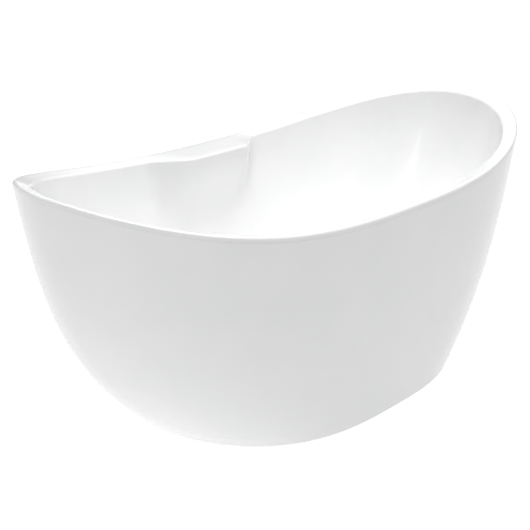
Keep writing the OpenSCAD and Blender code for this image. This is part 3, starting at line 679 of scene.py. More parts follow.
def block(size, low, bevel=0.5):
    """A box from its low corner, all of its edges rounded."""
    bm = bmesh.new()
    bmesh.ops.create_cube(bm, size=1.0)
    for v in bm.verts:
        v.co = Vector([low[i] + size[i] * (v.co[i] + 0.5) for i in range(3)])
    bmesh.ops.bevel(bm, geom=bm.edges, offset=bevel, segments=2, profile=0.5, affect="EDGES")
    data = np.array([v.co[:] for v in bm.verts]), [tuple(v.index for v in f.verts) for f in bm.faces]
    bm.free()
    return data


def extruded(outline_pts, x0, x1, bevel=0.3):
    """A bar along X whose section is a closed outline of (y, z) points, its ends slightly rounded."""
    pts = np.array(outline_pts, float)
    n = len(pts)
    edge = np.roll(pts, -1, 0) - np.roll(pts, 1, 0)
    inside = unit(np.stack([-edge[:, 1], edge[:, 0]], -1))
    area = 0.5 * np.sum(pts[:, 0] * np.roll(pts[:, 1], -1) - np.roll(pts[:, 0], -1) * pts[:, 1])
    shrunk = pts + inside * bevel * np.sign(area)
    rows = [(shrunk, x0), (pts, x0 + bevel), (pts, x1 - bevel), (shrunk, x1)]
    verts = np.concatenate([np.column_stack([np.full(n, x), row]) for row, x in rows])
    faces = grid_faces(4, n, wrap_n=False)
    return verts, faces + [tuple(range(n))[::-1], tuple(range(3 * n, 4 * n))]


def hex_radius(flats):
    """Limits a turned radius to a hexagon with a distance between flats."""
    def limit(a, r, z):
        side = (a + math.pi / 6) % (math.pi / 3) - math.pi / 6
        return min(r, flats / 2 / math.cos(side))
    return limit


def hex_corner(flats):
    return flats / 2 / math.cos(math.pi / 6)


def nut(flats, z, h, bore):
    """A hexagonal nut with its corners chamfered at both ends."""
    corner, face, cham, top = hex_corner(flats), flats / 2 - 0.4, 0.14 * h + 0.4, z + h
    profile = [
        (bore, z + 0.7), (bore + 0.7, z), (face, z), (corner, z + cham),
        (corner, top - cham), (face, top), (bore + 0.7, top), (bore, top - 0.7),
    ]
    return lathe(profile, 0.15, 72, radius_at=hex_radius(flats))


def thread(r, pitch, depth, z0, z1, segments=40, inner=0.0):
    """A right-hand outer thread, faded out at both ends, on a tube or a solid core."""
    angles = 2 * np.pi * np.arange(segments) / segments
    rows = []
    for z in np.linspace(z0, z1, int((z1 - z0) / pitch * 8) + 1):
        phase = (z / pitch - angles / (2 * np.pi)) % 1
        flank = np.clip(1.5 - np.abs(phase - 0.5) * 4, 0, 1)
        fade = min(1.0, (z - z0) / pitch, (z1 - z) / pitch)
        rows.append(ring_at(angles, r - depth * (flank * fade + (1 - fade)), z))
    if inner > 0:
        rows += [ring_at(angles, inner, z) for z in (z1, z0)]
    n, m = len(rows), segments
    faces = grid_faces(n, m, wrap_n=inner > 0)
    if inner == 0:
        faces += [tuple(range(m))[::-1], tuple(range((n - 1) * m, n * m))]
    return np.concatenate(rows), faces


def sweep(path, radii, sides=24, closed_ends=True):
    """A tube along a path of points, with a radius at each of them."""
    path = np.asarray(path, float)
    tangent = unit(np.gradient(path, axis=0))
    side = np.array([1.0, 0, 0]) if abs(tangent[0][0]) < 0.8 else np.array([0, 1.0, 0])
    rings, angles = [], 2 * np.pi * np.arange(sides) / sides
    for p, t, r in zip(path, tangent, radii):
        side = unit(side - t * (side @ t))
        up = np.cross(t, side)
        rings.append(p + r * (np.outer(np.cos(angles), side) + np.outer(np.sin(angles), up)))
    faces = grid_faces(len(path), sides, wrap_n=False)
    if closed_ends:
        last = (len(path) - 1) * sides
        faces += [tuple(range(sides))[::-1], tuple(range(last, last + sides))]
    return np.concatenate(rings), faces


def pipe(path, outer, inner, sides=24):
    """A hollow tube along a path, from its outer and inner radii at each point."""
    there, _ = sweep(path, outer, sides, False)
    back, _ = sweep(path, inner, sides, False)
    rows = np.concatenate([there, back.reshape(-1, sides, 3)[::-1].reshape(-1, 3)])
    return rows, grid_faces(2 * len(path), sides)


def weld(start, end, radius=1.5, ripple=1.5):
    """A weld bead from start to end, rippled along its length."""
    start, end = np.array(start, float), np.array(end, float)
    length = np.linalg.norm(end - start)
    t = spread(max(8, int(length / ripple * 5)))
    swell = radius * (0.82 + 0.18 * np.abs(np.sin(np.pi * t * length / ripple)))
    ends = np.clip(np.minimum(t, 1 - t) * length / radius, 0.15, 1) ** 0.5
    return sweep(start + np.outer(t, end - start), swell * ends, 12)


def union_of(name, adds, cuts=()):
    """One solid from closed shapes that overlap, less the closed shapes to cut."""
    base = build(name, [adds[0]])
    for kind, group in (("UNION", adds[1:]), ("DIFFERENCE", cuts)):
        for data in group:
            combine(base, kind, [build("tool", [data])])
    finish_normals(base, 32)
    return base


def rounded(node, name, bevel):
    """A copy of a CAD node with its flat faces whole and its edges rounded."""
    bm = bmesh.new()
    bm.from_mesh(NODES[node].data)
    bmesh.ops.remove_doubles(bm, verts=bm.verts, dist=1e-6)
    bmesh.ops.dissolve_limit(bm, angle_limit=math.radians(1), verts=bm.verts, edges=bm.edges)
    sharp = [e for e in bm.edges if len(e.link_faces) == 2 and e.calc_face_angle() > math.radians(40)]
    bmesh.ops.bevel(
        bm, geom=sharp, offset=bevel * 0.001, segments=2, profile=0.5, affect="EDGES", clamp_overlap=True
    )
    bmesh.ops.triangulate(bm, faces=[f for f in bm.faces if len(f.verts) > 4])
    loops = [[tuple(round(c * 1000, 3) for c in v.co) for v in f.verts] for f in bm.faces]
    bm.free()
    # sorted, because the bevel's own order differs from run to run
    index = {p: i for i, p in enumerate(sorted({p for loop in loops for p in loop}))}
    faces = [[index[p] for p in loop] for loop in loops]
    faces = sorted(f[f.index(min(f)):] + f[:f.index(min(f))] for f in faces)
    return mesh_object(name, list(index), faces, 30)


def object_data(obj):
    """Takes an object's vertices, in millimetres, and faces, and deletes it."""
    mesh = obj.data
    verts = np.array([v.co[:] for v in mesh.vertices]) * 1000
    faces = [tuple(f.vertices) for f in mesh.polygons]
    bpy.data.objects.remove(obj)
    return verts, faces


# ---- boards and cradle
CROSS_X, LONG_Y, FOOT_Y = 300.0, 130.0, 285.0
BOARD_BOTTOM = 97.2
RAIL_W, RAIL_H, RAIL_T = 40.0, 25.0, 2.5
WEB = BOARD_BOTTOM - RAIL_T
RAIL_LOW = BOARD_BOTTOM - RAIL_H
CROSS_L, LONG_L = 640.0, 560.0
SCREW_R, SCREW_CLEAR = 2.4, 0.05
STUD_HOLE_R = 6.75
BRACKET_T, BRACKET_W, BRACKET_REACH, BRACKET_LOW, BLOCK_FACE = 3.0, 32.0, 20.0, 48.0, 323.3
SIDE_SCREW_Z = (56, 68)
RAIL_SCREWS = [(x, y) for x in (-CROSS_X, CROSS_X) for y in (-85.0, 85.0)]
RAIL_SCREWS += [(x, y) for x in (-160.0, 160.0) for y in (-LONG_Y, LONG_Y)]
CORNERS = [(x, y) for x in (-1, 1) for y in (-1, 1)]

piece(rounded("ledge_board", "ledge_plywood", 0.8), "ledge_board")
piece(rounded("base_board", "base_plywood", 0.8), "base_board")
piece(rounded("skirt_blocks", "timber_blocks", 1.2), "skirt_blocks")


def fold(x, z, radius, steps, upwards):
    """A quarter round in an upper corner of the channel, run through upwards or downwards."""
    side = 1 if x < 0 else -1
    out = []
    for k in range(steps + 1):
        a = math.pi / 2 * (k / steps if upwards else 1 - k / steps)
        out.append((x + side * radius * (1 - math.cos(a)), z - radius * (1 - math.sin(a))))
    return out


def channel_section():
    """Section of a folded channel, open below: its two bends are round inside and out."""
    w, t = RAIL_W / 2, RAIL_T
    over = fold(-w, BOARD_BOTTOM, 3.5, 6, True) + fold(w, BOARD_BOTTOM, 3.5, 6, False)
    under = fold(w - t, WEB, 1.0, 3, True) + fold(-w + t, WEB, 1.0, 3, False)
    return [(-w, RAIL_LOW)] + over + [(w, RAIL_LOW), (w - t, RAIL_LOW)] + under + [(-w + t, RAIL_LOW)]


def rail(name, length, matrix, holes):
    """A channel along its own X, placed by a matrix and drilled at (x, y, radius)."""
    bar = build(name, [placed(extruded(channel_section(), -length / 2, length / 2), matrix)])
    return cut(bar, [tool(drill(r, WEB - 2, 110, 40), move(x, y, 0)) for x, y, r in holes])


def screw_holes(keep):
    return [(x, y, SCREW_R + SCREW_CLEAR) for x, y in RAIL_SCREWS if keep(x, y)]


for side, x in (("left", -CROSS_X), ("right", CROSS_X)):
    places = [(x, y, STUD_HOLE_R) for y in (-FOOT_Y, FOOT_Y)] + screw_holes(lambda u, v: u == x)
    at = move(x, 0, 0) @ turn(90, "Z")
    piece(rail(f"channel_{side}", CROSS_L, at, places), f"cross_rail_{side}")
for side, y in (("front", -LONG_Y), ("back", LONG_Y)):
    places = screw_holes(lambda u, v: v == y)
    piece(rail(f"channel_{side}", LONG_L, move(0, y, 0), places), f"long_rail_{side}")


def mirrored(data, sx, sy):
    verts, faces = data
    flipped = verts * np.array([sx, sy, 1])
    return flipped, ([f[::-1] for f in faces] if sx * sy < 0 else faces)


def cleats():
    """Angles in the corners of the frame, welded along both of their free edges."""
    leg, t, h, x, y = 30.0, 3.0, RAIL_H - 2, CROSS_X - RAIL_W / 2, LONG_Y + RAIL_W / 2
    bend = fillet([(0, 0), (leg, 0), (leg, t), (t, t), (t, leg), (0, leg)], 0.5)
    verts, faces = extruded(bend, RAIL_LOW, RAIL_LOW + h, 0.3)
    one = np.column_stack([verts[:, 1], verts[:, 2], verts[:, 0]]), faces
    beads = [
        weld((leg, 0.9, RAIL_LOW + 2), (leg, 0.9, RAIL_LOW + h - 2)),
        weld((0.9, leg, RAIL_LOW + 2), (0.9, leg, RAIL_LOW + h - 2)),
    ]
    parts = []
    for sx, sy in CORNERS:
        for v, f in [one] + beads:
            parts.append(mirrored((v * [-1, 1, 1] + [x, y, 0], [g[::-1] for g in f]), sx, sy))
    return build("welded_cleats", parts)


piece(cleats(), "rail_cleats")


def brackets():
    """Bent steel angles under the ends of the cross rails, drilled for the skirt's screws."""
    t, face = BRACKET_T, BLOCK_FACE
    far = face - t - BRACKET_REACH
    section = fillet([
        (face - t, BRACKET_LOW), (face, BRACKET_LOW), (face, WEB),
        (far, WEB), (far, WEB - t), (face - t, WEB - t),
    ], 1.2)
    one = build("bracket", [extruded(section, CROSS_X - BRACKET_W / 2, CROSS_X + BRACKET_W / 2, 0.3)])
    through = drill(SCREW_R + SCREW_CLEAR, -2, 6, 32)
    holes = [tool(through, move(CROSS_X, face - t - 1, z) @ turn(-90, "X")) for z in SIDE_SCREW_Z]
    data = object_data(cut(one, holes))
    return build("bent_brackets", [mirrored(data, sx, sy) for sx, sy in CORNERS])


piece(brackets(), "skirt_brackets")


def screw_data(shank_l, head_r, head_h):
    """Pan-head screw with a cross recess and a coarse thread, its head's upper face at z = 0."""
    crown = [(0, -head_h), (head_r * 0.72, -head_h), (head_r, -head_h * 0.35), (head_r, 0), (0, 0)]
    head = build("screw", [lathe(crown, 0.5, 40)])
    arm, deep = head_r * 1.15, head_h * 0.6
    tools = [build("tool", [block((a, b, deep * 2), (-a / 2, -b / 2, -head_h - deep), 0.1)])
             for a, b in ((arm, 0.95), (0.95, arm))]
    parts = [object_data(cut(head, tools)), thread(SCREW_R, 1.6, 0.55, -0.4, shank_l - 2.4, 24)]
    tip = lathe_data([(0, shank_l - 2.5), (1.8, shank_l - 2.5), (0.5, shank_l - 0.2), (0, shank_l)], 24)
    return joined(parts + [tip])


UP_SCREW = screw_data(12.0, 5.0, 3.0)
made("board_screws", "rail_screws", *(placed(UP_SCREW, move(x, y, WEB)) for x, y in RAIL_SCREWS))
SIDE_SCREW = screw_data(14.0, 4.5, 2.5)
side_screws = [
    mirrored(placed(SIDE_SCREW, move(CROSS_X, BLOCK_FACE - BRACKET_T, z) @ turn(-90, "X")), sx, sy)
    for sx, sy in CORNERS for z in SIDE_SCREW_Z
]
made("block_screws", "skirt_screws", *side_screws)

# ---- feet
STUD_R, PITCH, NUT_FLATS, NUT_H, LOCK_H = 6.0, 1.75, 19.0, 10.0, 6.0
STUD_BORE, LOCK_TURN = STUD_R + 0.08, 17
FEET = [(x * CROSS_X, y * FOOT_Y) for y in (-1, 1) for x in (-1, 1)]


def weld_spots(z):
    """Three tacks of weld between a nut and the web above it."""
    tack = [(0, z - 2.4), (2.6, z - 2.0), (3.4, z - 0.3), (0, z - 0.3)]
    beside = move(NUT_FLATS / 2 + 0.6, 0, 0)
    return [lathe(tack, 0.6, 20, turn(a, "Z") @ beside) for a in (30, 150, 270)]


nut_parts, lock_parts = [], []
for x, y in FEET:
    for data in [nut(NUT_FLATS, WEB - NUT_H, NUT_H, STUD_BORE)] + weld_spots(WEB):
        nut_parts.append(placed(data, move(x, y, 0)))
    lock = nut(NUT_FLATS, WEB - NUT_H - LOCK_H - 0.2, LOCK_H, STUD_BORE)
    lock_parts.append(placed(lock, move(x, y, 0) @ turn(LOCK_TURN, "Z")))
made("welded_nuts", "weld_nuts", *nut_parts)
made("jam_nuts", "lock_nuts", *lock_parts)


def stud():
    """M12 stud: plain in the pad, a hexagonal collar, then a rolled thread with a bevelled end."""
    flats = 17.0
    corner, face = hex_corner(flats), flats / 2 - 0.3
    foot = lathe([(0, 6), (STUD_R - 0.8, 6), (STUD_R, 7), (STUD_R, 28.2), (0, 28.2)], 0.3, 40)
    spanner = [(0, 28), (face, 28), (corner, 29.2), (corner, 32.8), (face, 34), (0, 34)]
    collar = lathe(spanner, 0.15, 72, radius_at=hex_radius(flats))
    neck = rod(STUD_R - 1.05, 33.8, 36.2, 0.2, 40)
    tip = lathe([(0, 118.6), (STUD_R - 1.1, 118.6), (STUD_R - 1.6, 120), (0, 120)], 0.2, 40)
    return joined([foot, collar, neck, thread(STUD_R, PITCH, 1.05, 36, 119), tip])


def pad_radius(a, r, z):
    """Grips round the pad's edge and ribs up its cone."""
    if z > 0.5 and r > 24.2:
        return r - 0.7 * max(0.0, math.cos(36 * a)) ** 2
    if z > 5.2 and r > 13.2:
        return r + 1.1 * max(0.0, math.cos(8 * a)) ** 8
    return r


PAD_PROFILE = [
    (0, 0), (24, 0), (25, 1), (25, 3), (25, 5), (21.5, 6.2), (18.6, 7.4), (16, 9.5), (14.6, 13),
    (13.6, 17), (13, 20), (STUD_BORE, 20), (STUD_BORE, 5.92), (0, 5.92),
]
STUD, PAD = stud(), lathe(PAD_PROFILE, 0.5, 144, radius_at=pad_radius)
for i, (x, y) in enumerate(FEET, 1):
    made(f"stud_{i}", f"foot_stud_{i}", placed(STUD, move(x, y, 0)))
    made(f"pad_{i}", f"foot_pad_{i}", placed(PAD, move(x, y, 0)))

# ---- waste
FLANGE_SEAT, FLANGE_TOP, PLUG_Z = 115.8, 118.3, 119.1
BRANCH_Z, INLET_Z = 57.0, 60.0
TRAP_X, OUTLET_Z = 116.0, 66.0
SPIDER_ARMS = (90, 210, 330)


def arms(reach, z, h, hub=8.0):
    """Spokes from a hub out to the wall of a tube."""
    arm = block((reach - hub + 1.5, 3, h), (hub - 1.5, -1.5, z), 0.4)
    return [placed(arm, turn(a, "Z")) for a in SPIDER_ARMS]


def flange():
    top, low = FLANGE_TOP, 113.5
    plate = [
        (22, low), (22, top - 1.2), (23.2, top), (32.2, top), (34.2, top - 0.7), (35, top - 1.6),
        (35, FLANGE_SEAT), (24.6, FLANGE_SEAT), (24.6, low),
    ]
    hub = ring(8, 5.05, 98, 6, 0.5, 48)
    parts = [lathe(plate, 0.35, 128), thread(24.6, 2.0, 0.9, 90, 114, 96, inner=22.0), hub]
    return joined(parts + arms(22.6, 98, 6))


def dome(r):
    return PLUG_Z + 2.0 + 2.5 * (1 - (r / 30) ** 2)


def plug():
    crown = [(r, dome(r)) for r in (0, 4, 8, 12, 16, 20, 24, 27, 29)]
    under = [
        (30.6, 1.5), (31, 0.8), (30.2, 0), (28.4, 0), (9, 0), (9, -5), (3.05, -5), (3.05, 1.5), (0, 1.5),
    ]
    return lathe(crown + [(r, PLUG_Z + h) for r, h in under], 0.35, 128)


def stem():
    core = [(0, 97), (2.4, 97), (3, 97.6), (3, 99.4), (2.3, 99.6), (2.3, 101), (3, 101.2)]
    core += [(3, 113), (0, 113)]
    return joined([lathe(core, 0.1, 40), thread(3.0, 1.0, 0.45, 113, 120.55, 32)])


def cartridge():
    """Plated barrel with a bore for the stem and a collar of spanner flats."""
    flats = 13.0
    corner, face = hex_corner(flats), flats / 2 - 0.2
    cup = [(0, 93), (4, 93), (5, 94), (5, 104.2), (5, 111), (3.08, 111), (3.08, 96), (0, 96)]
    collar = [(4.8, 104), (face, 104), (corner, 104.6), (corner, 106.4), (face, 107), (4.8, 107)]
    return joined([lathe(cup, 0.3, 48), lathe(collar, 0.15, 72, radius_at=hex_radius(flats))])


made("flange_chrome", "waste_flange", flange())
made("flange_seal", "flange_gasket", ring(34.5, 25.5, 115, 0.8, 0.3, 96))
made("plug_cap", "waste_plug", plug())
made("plug_pin", "plug_stem", stem())
made("plug_ring", "plug_seal", ring(28, 23.5, FLANGE_TOP + 0.1, 0.7, 0.3, 96))
made("cartridge_barrel", "click_cartridge", cartridge())


def washer_profile(r_out, r_in, z, h):
    """Rubber washer with two raised sealing lines on each face."""
    mid = (r_out + r_in) / 2
    lines = [r_in + (mid - r_in) * 0.5, mid + (r_out - mid) * 0.5]
    flat = z + 0.3
    low = [(r_in, flat)] + [p for r in lines for p in ((r - 0.8, flat), (r, z), (r + 0.8, flat))]
    high = [(r, 2 * z + h - v) for r, v in low[::-1]]
    return low + [(r_out, flat), (r_out, z + h - 0.3)] + high


made("body_washer", "lower_gasket", lathe(washer_profile(38, 26.2, 102, 4), 0.15, 96))


def barbed(start, first, pitch, count, length, end):
    """Profile of a hose barb: low cones from first on, on a core from start to end."""
    cones = [(0, start)]
    for z in [first + pitch * k for k in range(count)]:
        cones += [(8.9, z), (9.5, z + 0.4), (8.9, z + length)]
    return cones + [(8.7, end), (0, end)]


def waste_chamber():
    """Moulded chamber: round-edged body, ribbed flange, and its two spigots."""
    branch, outlet = move(0, 0, BRANCH_Z) @ turn(90, "X"), along_x(0, INLET_Z)
    rib = block((9, 2.2, 14), (29, -1.1, 84.5), 0.5)
    ribs = [placed(rib, turn(a, "Z")) for a in range(15, 360, 30)]
    body = lathe([(0, 38), (30, 38), (30, 98.6), (38, 98), (38, 102), (0, 102)], 1.4, 96)
    tail = rod(20, 0, 80, 0.5, 64, outlet)
    spigot = rod(13.5, 0, 48, 0.8, 48, branch)
    barb = lathe(barbed(46, 49, 4.2, 4, 4, 66), 0.1, 48, branch)
    cuts = [
        drill(24.65, 84, 110, 96),
        rod(27, 41, 82, 2.0, 96),
        drill(22.6, 80, 86, 72),
        placed(drill(17, 0, 82), outlet),
        placed(drill(7.5, 0, 70, 48), branch),
    ]
    return union_of("waste_chamber", [body, tail, spigot, barb] + ribs, cuts)


piece(waste_chamber(), "waste_body")

# ---- trap


def grips(count, depth, floor_r):
    """Moulded grips: raised bars round a turned shape wherever it is wider than floor_r."""
    def limit(a, r, z):
        wave = 0.5 + 0.5 * math.cos(count * a)
        return r if r <= floor_r else r - depth * (1 - min(1.0, max(0.0, (wave - 0.3) / 0.4)))
    return limit


def trap_shell():
    """Cup with its two sockets, hollow, and the wall across it that makes the water seal."""
    upright, way_in, way_out = move(TRAP_X, 0, 0), along_x(66, INLET_Z), along_x(TRAP_X, OUTLET_Z)
    cup = rod(36, 13, 93, 4.0, 96, upright)
    band = ring(37, 30, 78, 3, 0.8, 96, upright)
    boss = lathe([(0, 90), (9, 90), (7, 93.8), (0, 93.8)], 0.6, 48, upright)
    inlet = rod(24, 0, 46, 0.8, 72, way_in)
    outlet = rod(24, 0, 56, 0.8, 72, way_out)
    hollow = rod(33, 8, 90, 2.0, 96, upright)
    socket_in = lathe_data([(0, -1), (20.08, -1), (20.08, 19), (17, 19.4), (17, 46), (0, 46)], 72)
    socket_out = lathe_data([(0, 6), (17, 6), (17, 37), (20.08, 37.4), (20.08, 57), (0, 57)], 72)
    cuts = [hollow, placed(socket_in, way_in), placed(socket_out, way_out)]
    wall = block((3, 68, 66.6), (TRAP_X - 1.5, -34, 24), 0.4)
    shell_obj = union_of("trap_shell", [cup, band, boss, inlet, outlet], cuts)
    return union_of("trap_cup", [object_data(shell_obj), wall])


def union_ring(at):
    """Union nut: ribbed outside, with its collar at the foot."""
    profile = [(20.3, 0), (27, 0), (28, 1), (28, 16), (24.1, 16), (24.1, 4), (20.3, 4)]
    return lathe(profile, 0.4, 144, at, grips(18, 1.1, 26.5))


piece(trap_shell(), "trap_body")
made("inlet_union", "trap_inlet_nut", union_ring(along_x(59, INLET_Z)))
flip = move(179, 0, OUTLET_Z) @ turn(-90, "Y")
made("outlet_union", "outlet_nut", union_ring(flip))
pipe_seal = ring(23.5, 20.05, 0, 2.8, 0.8, 72)
made("inlet_washer", "trap_inlet_seal", placed(pipe_seal, along_x(63.1, INLET_Z)))
made("outlet_washer", "outlet_seal", placed(pipe_seal, along_x(172.1, OUTLET_Z)))
cap_profile = [(0, 7), (38.8, 7), (40, 8.2), (40, 22), (36.1, 22), (36.1, 10), (0, 10)]
cap = lathe(cap_profile, 0.5, 160, move(TRAP_X, 0, 0), grips(20, 1.0, 37.5))
made("cleanout_lid", "trap_cleanout_cap", cap)
made("cleanout_ring", "cleanout_seal", ring(35.8, 33, 10, 3, 0.8, 96, move(TRAP_X, 0, 0)))


def elbow():
    """Drain bend: a straight tail, a quarter turn and a drop, narrower at its two mouths."""
    bend, x, z = 28.0, 200.0, OUTLET_Z
    path = [(px, 0, z) for px in np.linspace(156, x - 1, 12)]
    quarter = np.linspace(0, math.pi / 2, 25)
    path += [(x + bend * math.sin(a), 0, z - bend + bend * math.cos(a)) for a in quarter]
    path += [(x + bend, 0, pz) for pz in np.linspace(z - bend - 1.5, 8, 10)]
    path = np.array(path)
    outer = np.full(len(path), 20.0)
    outer[0] = outer[-1] = 19.4
    return pipe(path, outer, np.full(len(path), 18.0), 64)


made("drain_bend", "outlet_elbow", elbow(), sharp=40)

# ---- overflow
COVER_R, COVER_H = 33.0, 9.0
OVERFLOW_AXIS, HOSE_NUT_Y = -25.5, 36


def overflow_cap():
    """Pressed chrome dome with drain slots round the lower half of its rim, on a pin."""
    radii = (0, 5, 10, 15, 20, 24, 27, 29.5, 31.2)
    crown = [(r, COVER_H + 0.3 - 2.3 * (r / COVER_R) ** 2.6) for r in radii]
    rest = [(32.4, 6.0), (COVER_R, 4.8), (COVER_R, 0.4), (30, 0.4), (30, 5.2), (28.4, 6.0), (0, 6.0)]
    shell_obj = build("cap", [lathe(crown + rest, 0.5, 128)])
    slot = block((10, 6, 5.2), (COVER_R - 7, -3, -0.8), 0.9)
    slots = [tool(slot, turn(a, "Z")) for a in range(15, 180, 30)]
    pin = lathe([(0, -5), (3.4, -5), (4, -4.2), (4, 6.2), (0, 6.2)], 0.3, 40)
    return joined([object_data(cut(shell_obj, slots)), pin])


def spout():
    """Flanged ring in the wall with its thread behind, and a spider that holds the cap's pin."""
    rim = [(19, -1), (19, 1.6), (19.9, 2.5), (26.6, 2.5), (28, 1.6), (28, 0.2), (21.8, 0.2), (21.8, -1)]
    tube = thread(22, 1.5, 0.7, -16, -0.8, 72, inner=19.0)
    return joined([lathe(rim, 0.3, 96), tube, ring(8, 4.05, -6, 5, 0.4, 40)] + arms(19.6, -6, 5))


def overflow_back():
    """Moulded elbow behind the wall: a closed cup with a neck and a barbed outlet."""
    back = -37.6
    down = move(0, 0, OVERFLOW_AXIS) @ turn(-90, "X")
    cup = rod(31, back, -8.1, 2.0, 96)
    neck = rod(12, 0, 35, 0.6, 48, down)
    barb = lathe(barbed(33, 36, 4.4, 3, 4.2, 50), 0.1, 48, down)
    hollow = rod(22.1, back + 2.5, 0, 1.0, 96)
    bore = placed(drill(7.5, 0, 54, 48), down)
    return object_data(union_of("elbow", [cup, neck, barb], [hollow, bore]))


def hose_nut(at):
    profile = [(11.7, 0), (13.2, 0), (13.7, 0.6), (13.7, 13.4), (13.2, 14), (11.7, 14)]
    return lathe(profile, 0.15, 120, at, grips(20, 0.5, 12.6))


def at_wall(data):
    return placed(data, AT_OVERFLOW)


made("overflow_cap", "overflow_cover", at_wall(overflow_cap()))
made("overflow_ring", "overflow_spout", at_wall(spout()))
wall_washer = lathe(washer_profile(31, 25.5, -8, 2.9), 0.1, 96)
made("overflow_washer", "overflow_gasket", at_wall(wall_washer))
made("overflow_back", "overflow_elbow", at_wall(overflow_back()))
top_nut_at = AT_OVERFLOW @ move(0, HOSE_NUT_Y, OVERFLOW_AXIS) @ turn(-90, "X")
made("upper_hose_nut", "hose_nut_top", hose_nut(top_nut_at))
made("lower_hose_nut", "hose_nut_bottom", hose_nut(move(0, -50, BRANCH_Z) @ turn(90, "X")))

# route of the hose in the plane x = 0, as (y, z): from the overflow down behind the basin to the waste
HOSE_ROUTE = [(AT_OVERFLOW @ Vector((0, HOSE_NUT_Y + d, OVERFLOW_AXIS)))[1:] for d in (2, 26, 55)] + [
    (-374.5, 340), (-365.5, 280), (-353, 220), (-336, 165), (-306, 118), (-262, 82), (-212, 63),
    (-150, BRANCH_Z), (-100, BRANCH_Z), (-52, BRANCH_Z),
]


def smooth_route(points, steps):
    """A Catmull-Rom curve through the points, with some steps between each two."""
    p = [np.array(v, float) for v in points]
    n, out = len(p), []
    for i in range(n - 1):
        a, b, c, d = p[max(0, i - 1)], p[i], p[i + 1], p[min(n - 1, i + 2)]
        for t in np.arange(steps) / steps:
            out.append(0.5 * (2 * b + (c - a) * t + (2 * a - 5 * b + 4 * c - d) * t**2
                              + (3 * b - a - 3 * c + d) * t**3))
    return np.array(out + [p[-1]])


def hose():
    """Corrugated hose with a plain cuff at each end, hollow all the way."""
    line = smooth_route(HOSE_ROUTE, 24)
    run = np.concatenate([[0], np.cumsum(np.linalg.norm(np.diff(line, axis=0), axis=1))])
    pitch, cuff, wall_t = 4.6, 17.0, 1.2
    s = np.linspace(0, run[-1], int(run[-1] / pitch * 7))
    y, z = (np.interp(s, run, line[:, k]) for k in (0, 1))
    free = np.clip((np.minimum(s, run[-1] - s) - cuff) / pitch, 0, 1)
    wave = 0.5 - 0.5 * np.cos(2 * np.pi * s / pitch)
    outer = 11.5 - 1.5 * free * wave**1.5
    return pipe(np.column_stack([np.zeros_like(s), y, z]), outer, outer - wall_t, 32)


made("corrugated_hose", "overflow_hose", hose(), sharp=60)

# ---- floor, light and camera
FLOOR_SIZE = 14.0
bpy.ops.mesh.primitive_plane_add(size=FLOOR_SIZE)
ground = bpy.context.object
ground.name = "studio_floor"
floor = Nodes("studio_floor")
speck = floor.noise(floor.place(), 30.0, 2.0)
ground.data.materials.append(floor.set(
    Base_Color=floor.ramp(speck, [(0.3, (0.10, 0.10, 0.10)), (0.7, (0.11, 0.11, 0.11))]),
    Roughness=0.9,
    Emission_Color=(1, 1, 1, 1),
    Emission_Strength=0.94,
))

scene = bpy.context.scene


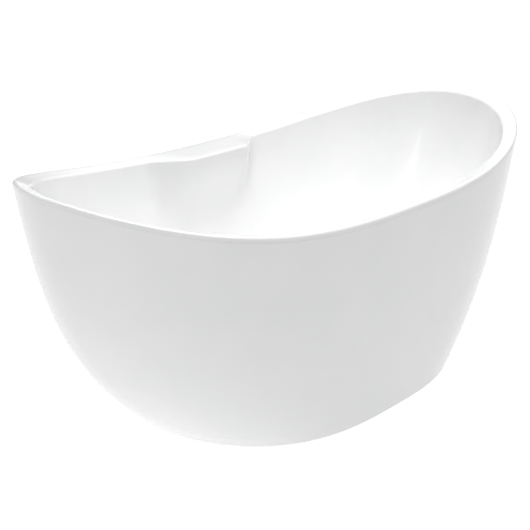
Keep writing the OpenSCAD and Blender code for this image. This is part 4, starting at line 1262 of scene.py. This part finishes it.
def studio_world(low, high, seen, gloss):
    """A soft dome that lights the bath, brighter overhead; the camera sees a plain white backdrop and
    the bath's gloss an even grey one."""
    world = bpy.data.worlds.new("studio")
    world.use_nodes = True
    tree = world.node_tree
    new, link = tree.nodes.new, tree.links.new
    back = tree.nodes["Background"]
    back.inputs["Color"].default_value = (1, 1, 1, 1)
    way = new("ShaderNodeTexCoord")
    parts = new("ShaderNodeSeparateXYZ")
    dome = new("ShaderNodeMapRange")
    dome.interpolation_type = "SMOOTHSTEP"
    dome.inputs["To Min"].default_value = low
    dome.inputs["To Max"].default_value = high
    path = new("ShaderNodeLightPath")
    pick, shine = (new("ShaderNodeMix") for _ in range(2))
    pick.inputs["B"].default_value = seen
    shine.inputs["B"].default_value = gloss
    link(way.outputs["Generated"], parts.inputs[0])
    link(parts.outputs["Z"], dome.inputs["Value"])
    link(path.outputs["Is Camera Ray"], pick.inputs["Factor"])
    link(path.outputs["Is Glossy Ray"], shine.inputs["Factor"])
    link(dome.outputs["Result"], shine.inputs["A"])
    link(shine.outputs["Result"], pick.inputs["A"])
    link(pick.outputs["Result"], back.inputs["Strength"])
    return world


def softbox(name, at, aim, size_x, size_y, power, spin=0.0, gloss_only=False):
    """A rectangular light turned to a point and spun about its own axis."""
    light = bpy.data.lights.new(name, "AREA")
    light.shape, light.size, light.size_y, light.energy = "RECTANGLE", size_x, size_y, power
    obj = bpy.data.objects.new(name, light)
    scene.collection.objects.link(obj)
    obj.location = at
    aimed = (Vector(aim) - Vector(at)).to_track_quat("-Z", "Y").to_matrix().to_4x4() @ turn(spin, "Z")
    obj.rotation_euler = aimed.to_euler()
    obj.visible_camera = False
    obj.visible_diffuse = not gloss_only
    return obj


scene.world = studio_world(low=0.05, high=0.90, seen=1.05, gloss=0.3)
softbox("overhead", (0.0, -0.3, 3.2), (0, 0, 0.3), 2.4, 1.8, 55.0)
softbox("left", (-3.2, -0.6, 1.1), (0, 0, 0.35), 2.0, 1.6, 6.0).visible_glossy = False
# makes the streak on the right end's wall
softbox("strip", (-2.04, -0.22, 1.48), (0.66, 0.12, 0.43), 0.16, 1.05, 1.5, spin=-34.0, gloss_only=True)

CAMERA_TURN, CAMERA_RISE, CAMERA_AWAY = -46.08, 21.56, 2.845
camera = bpy.data.cameras.new("camera")
camera.lens, camera.sensor_width = 68.32, 36.0
camera.shift_x, camera.shift_y = -0.0531, -0.0155
eye = bpy.data.objects.new("camera", camera)
scene.collection.objects.link(eye)
az, el = math.radians(CAMERA_TURN), math.radians(CAMERA_RISE)
back = Vector((math.sin(az) * math.cos(el), -math.cos(az) * math.cos(el), math.sin(el)))
aim = Vector((0, 0, 0.33))
eye.location = aim + back * CAMERA_AWAY
eye.rotation_euler = (-back).to_track_quat("-Z", "Y").to_euler()
scene.camera = eye
scene.view_settings.view_transform = "Standard"
scene.view_settings.gamma = 0.78
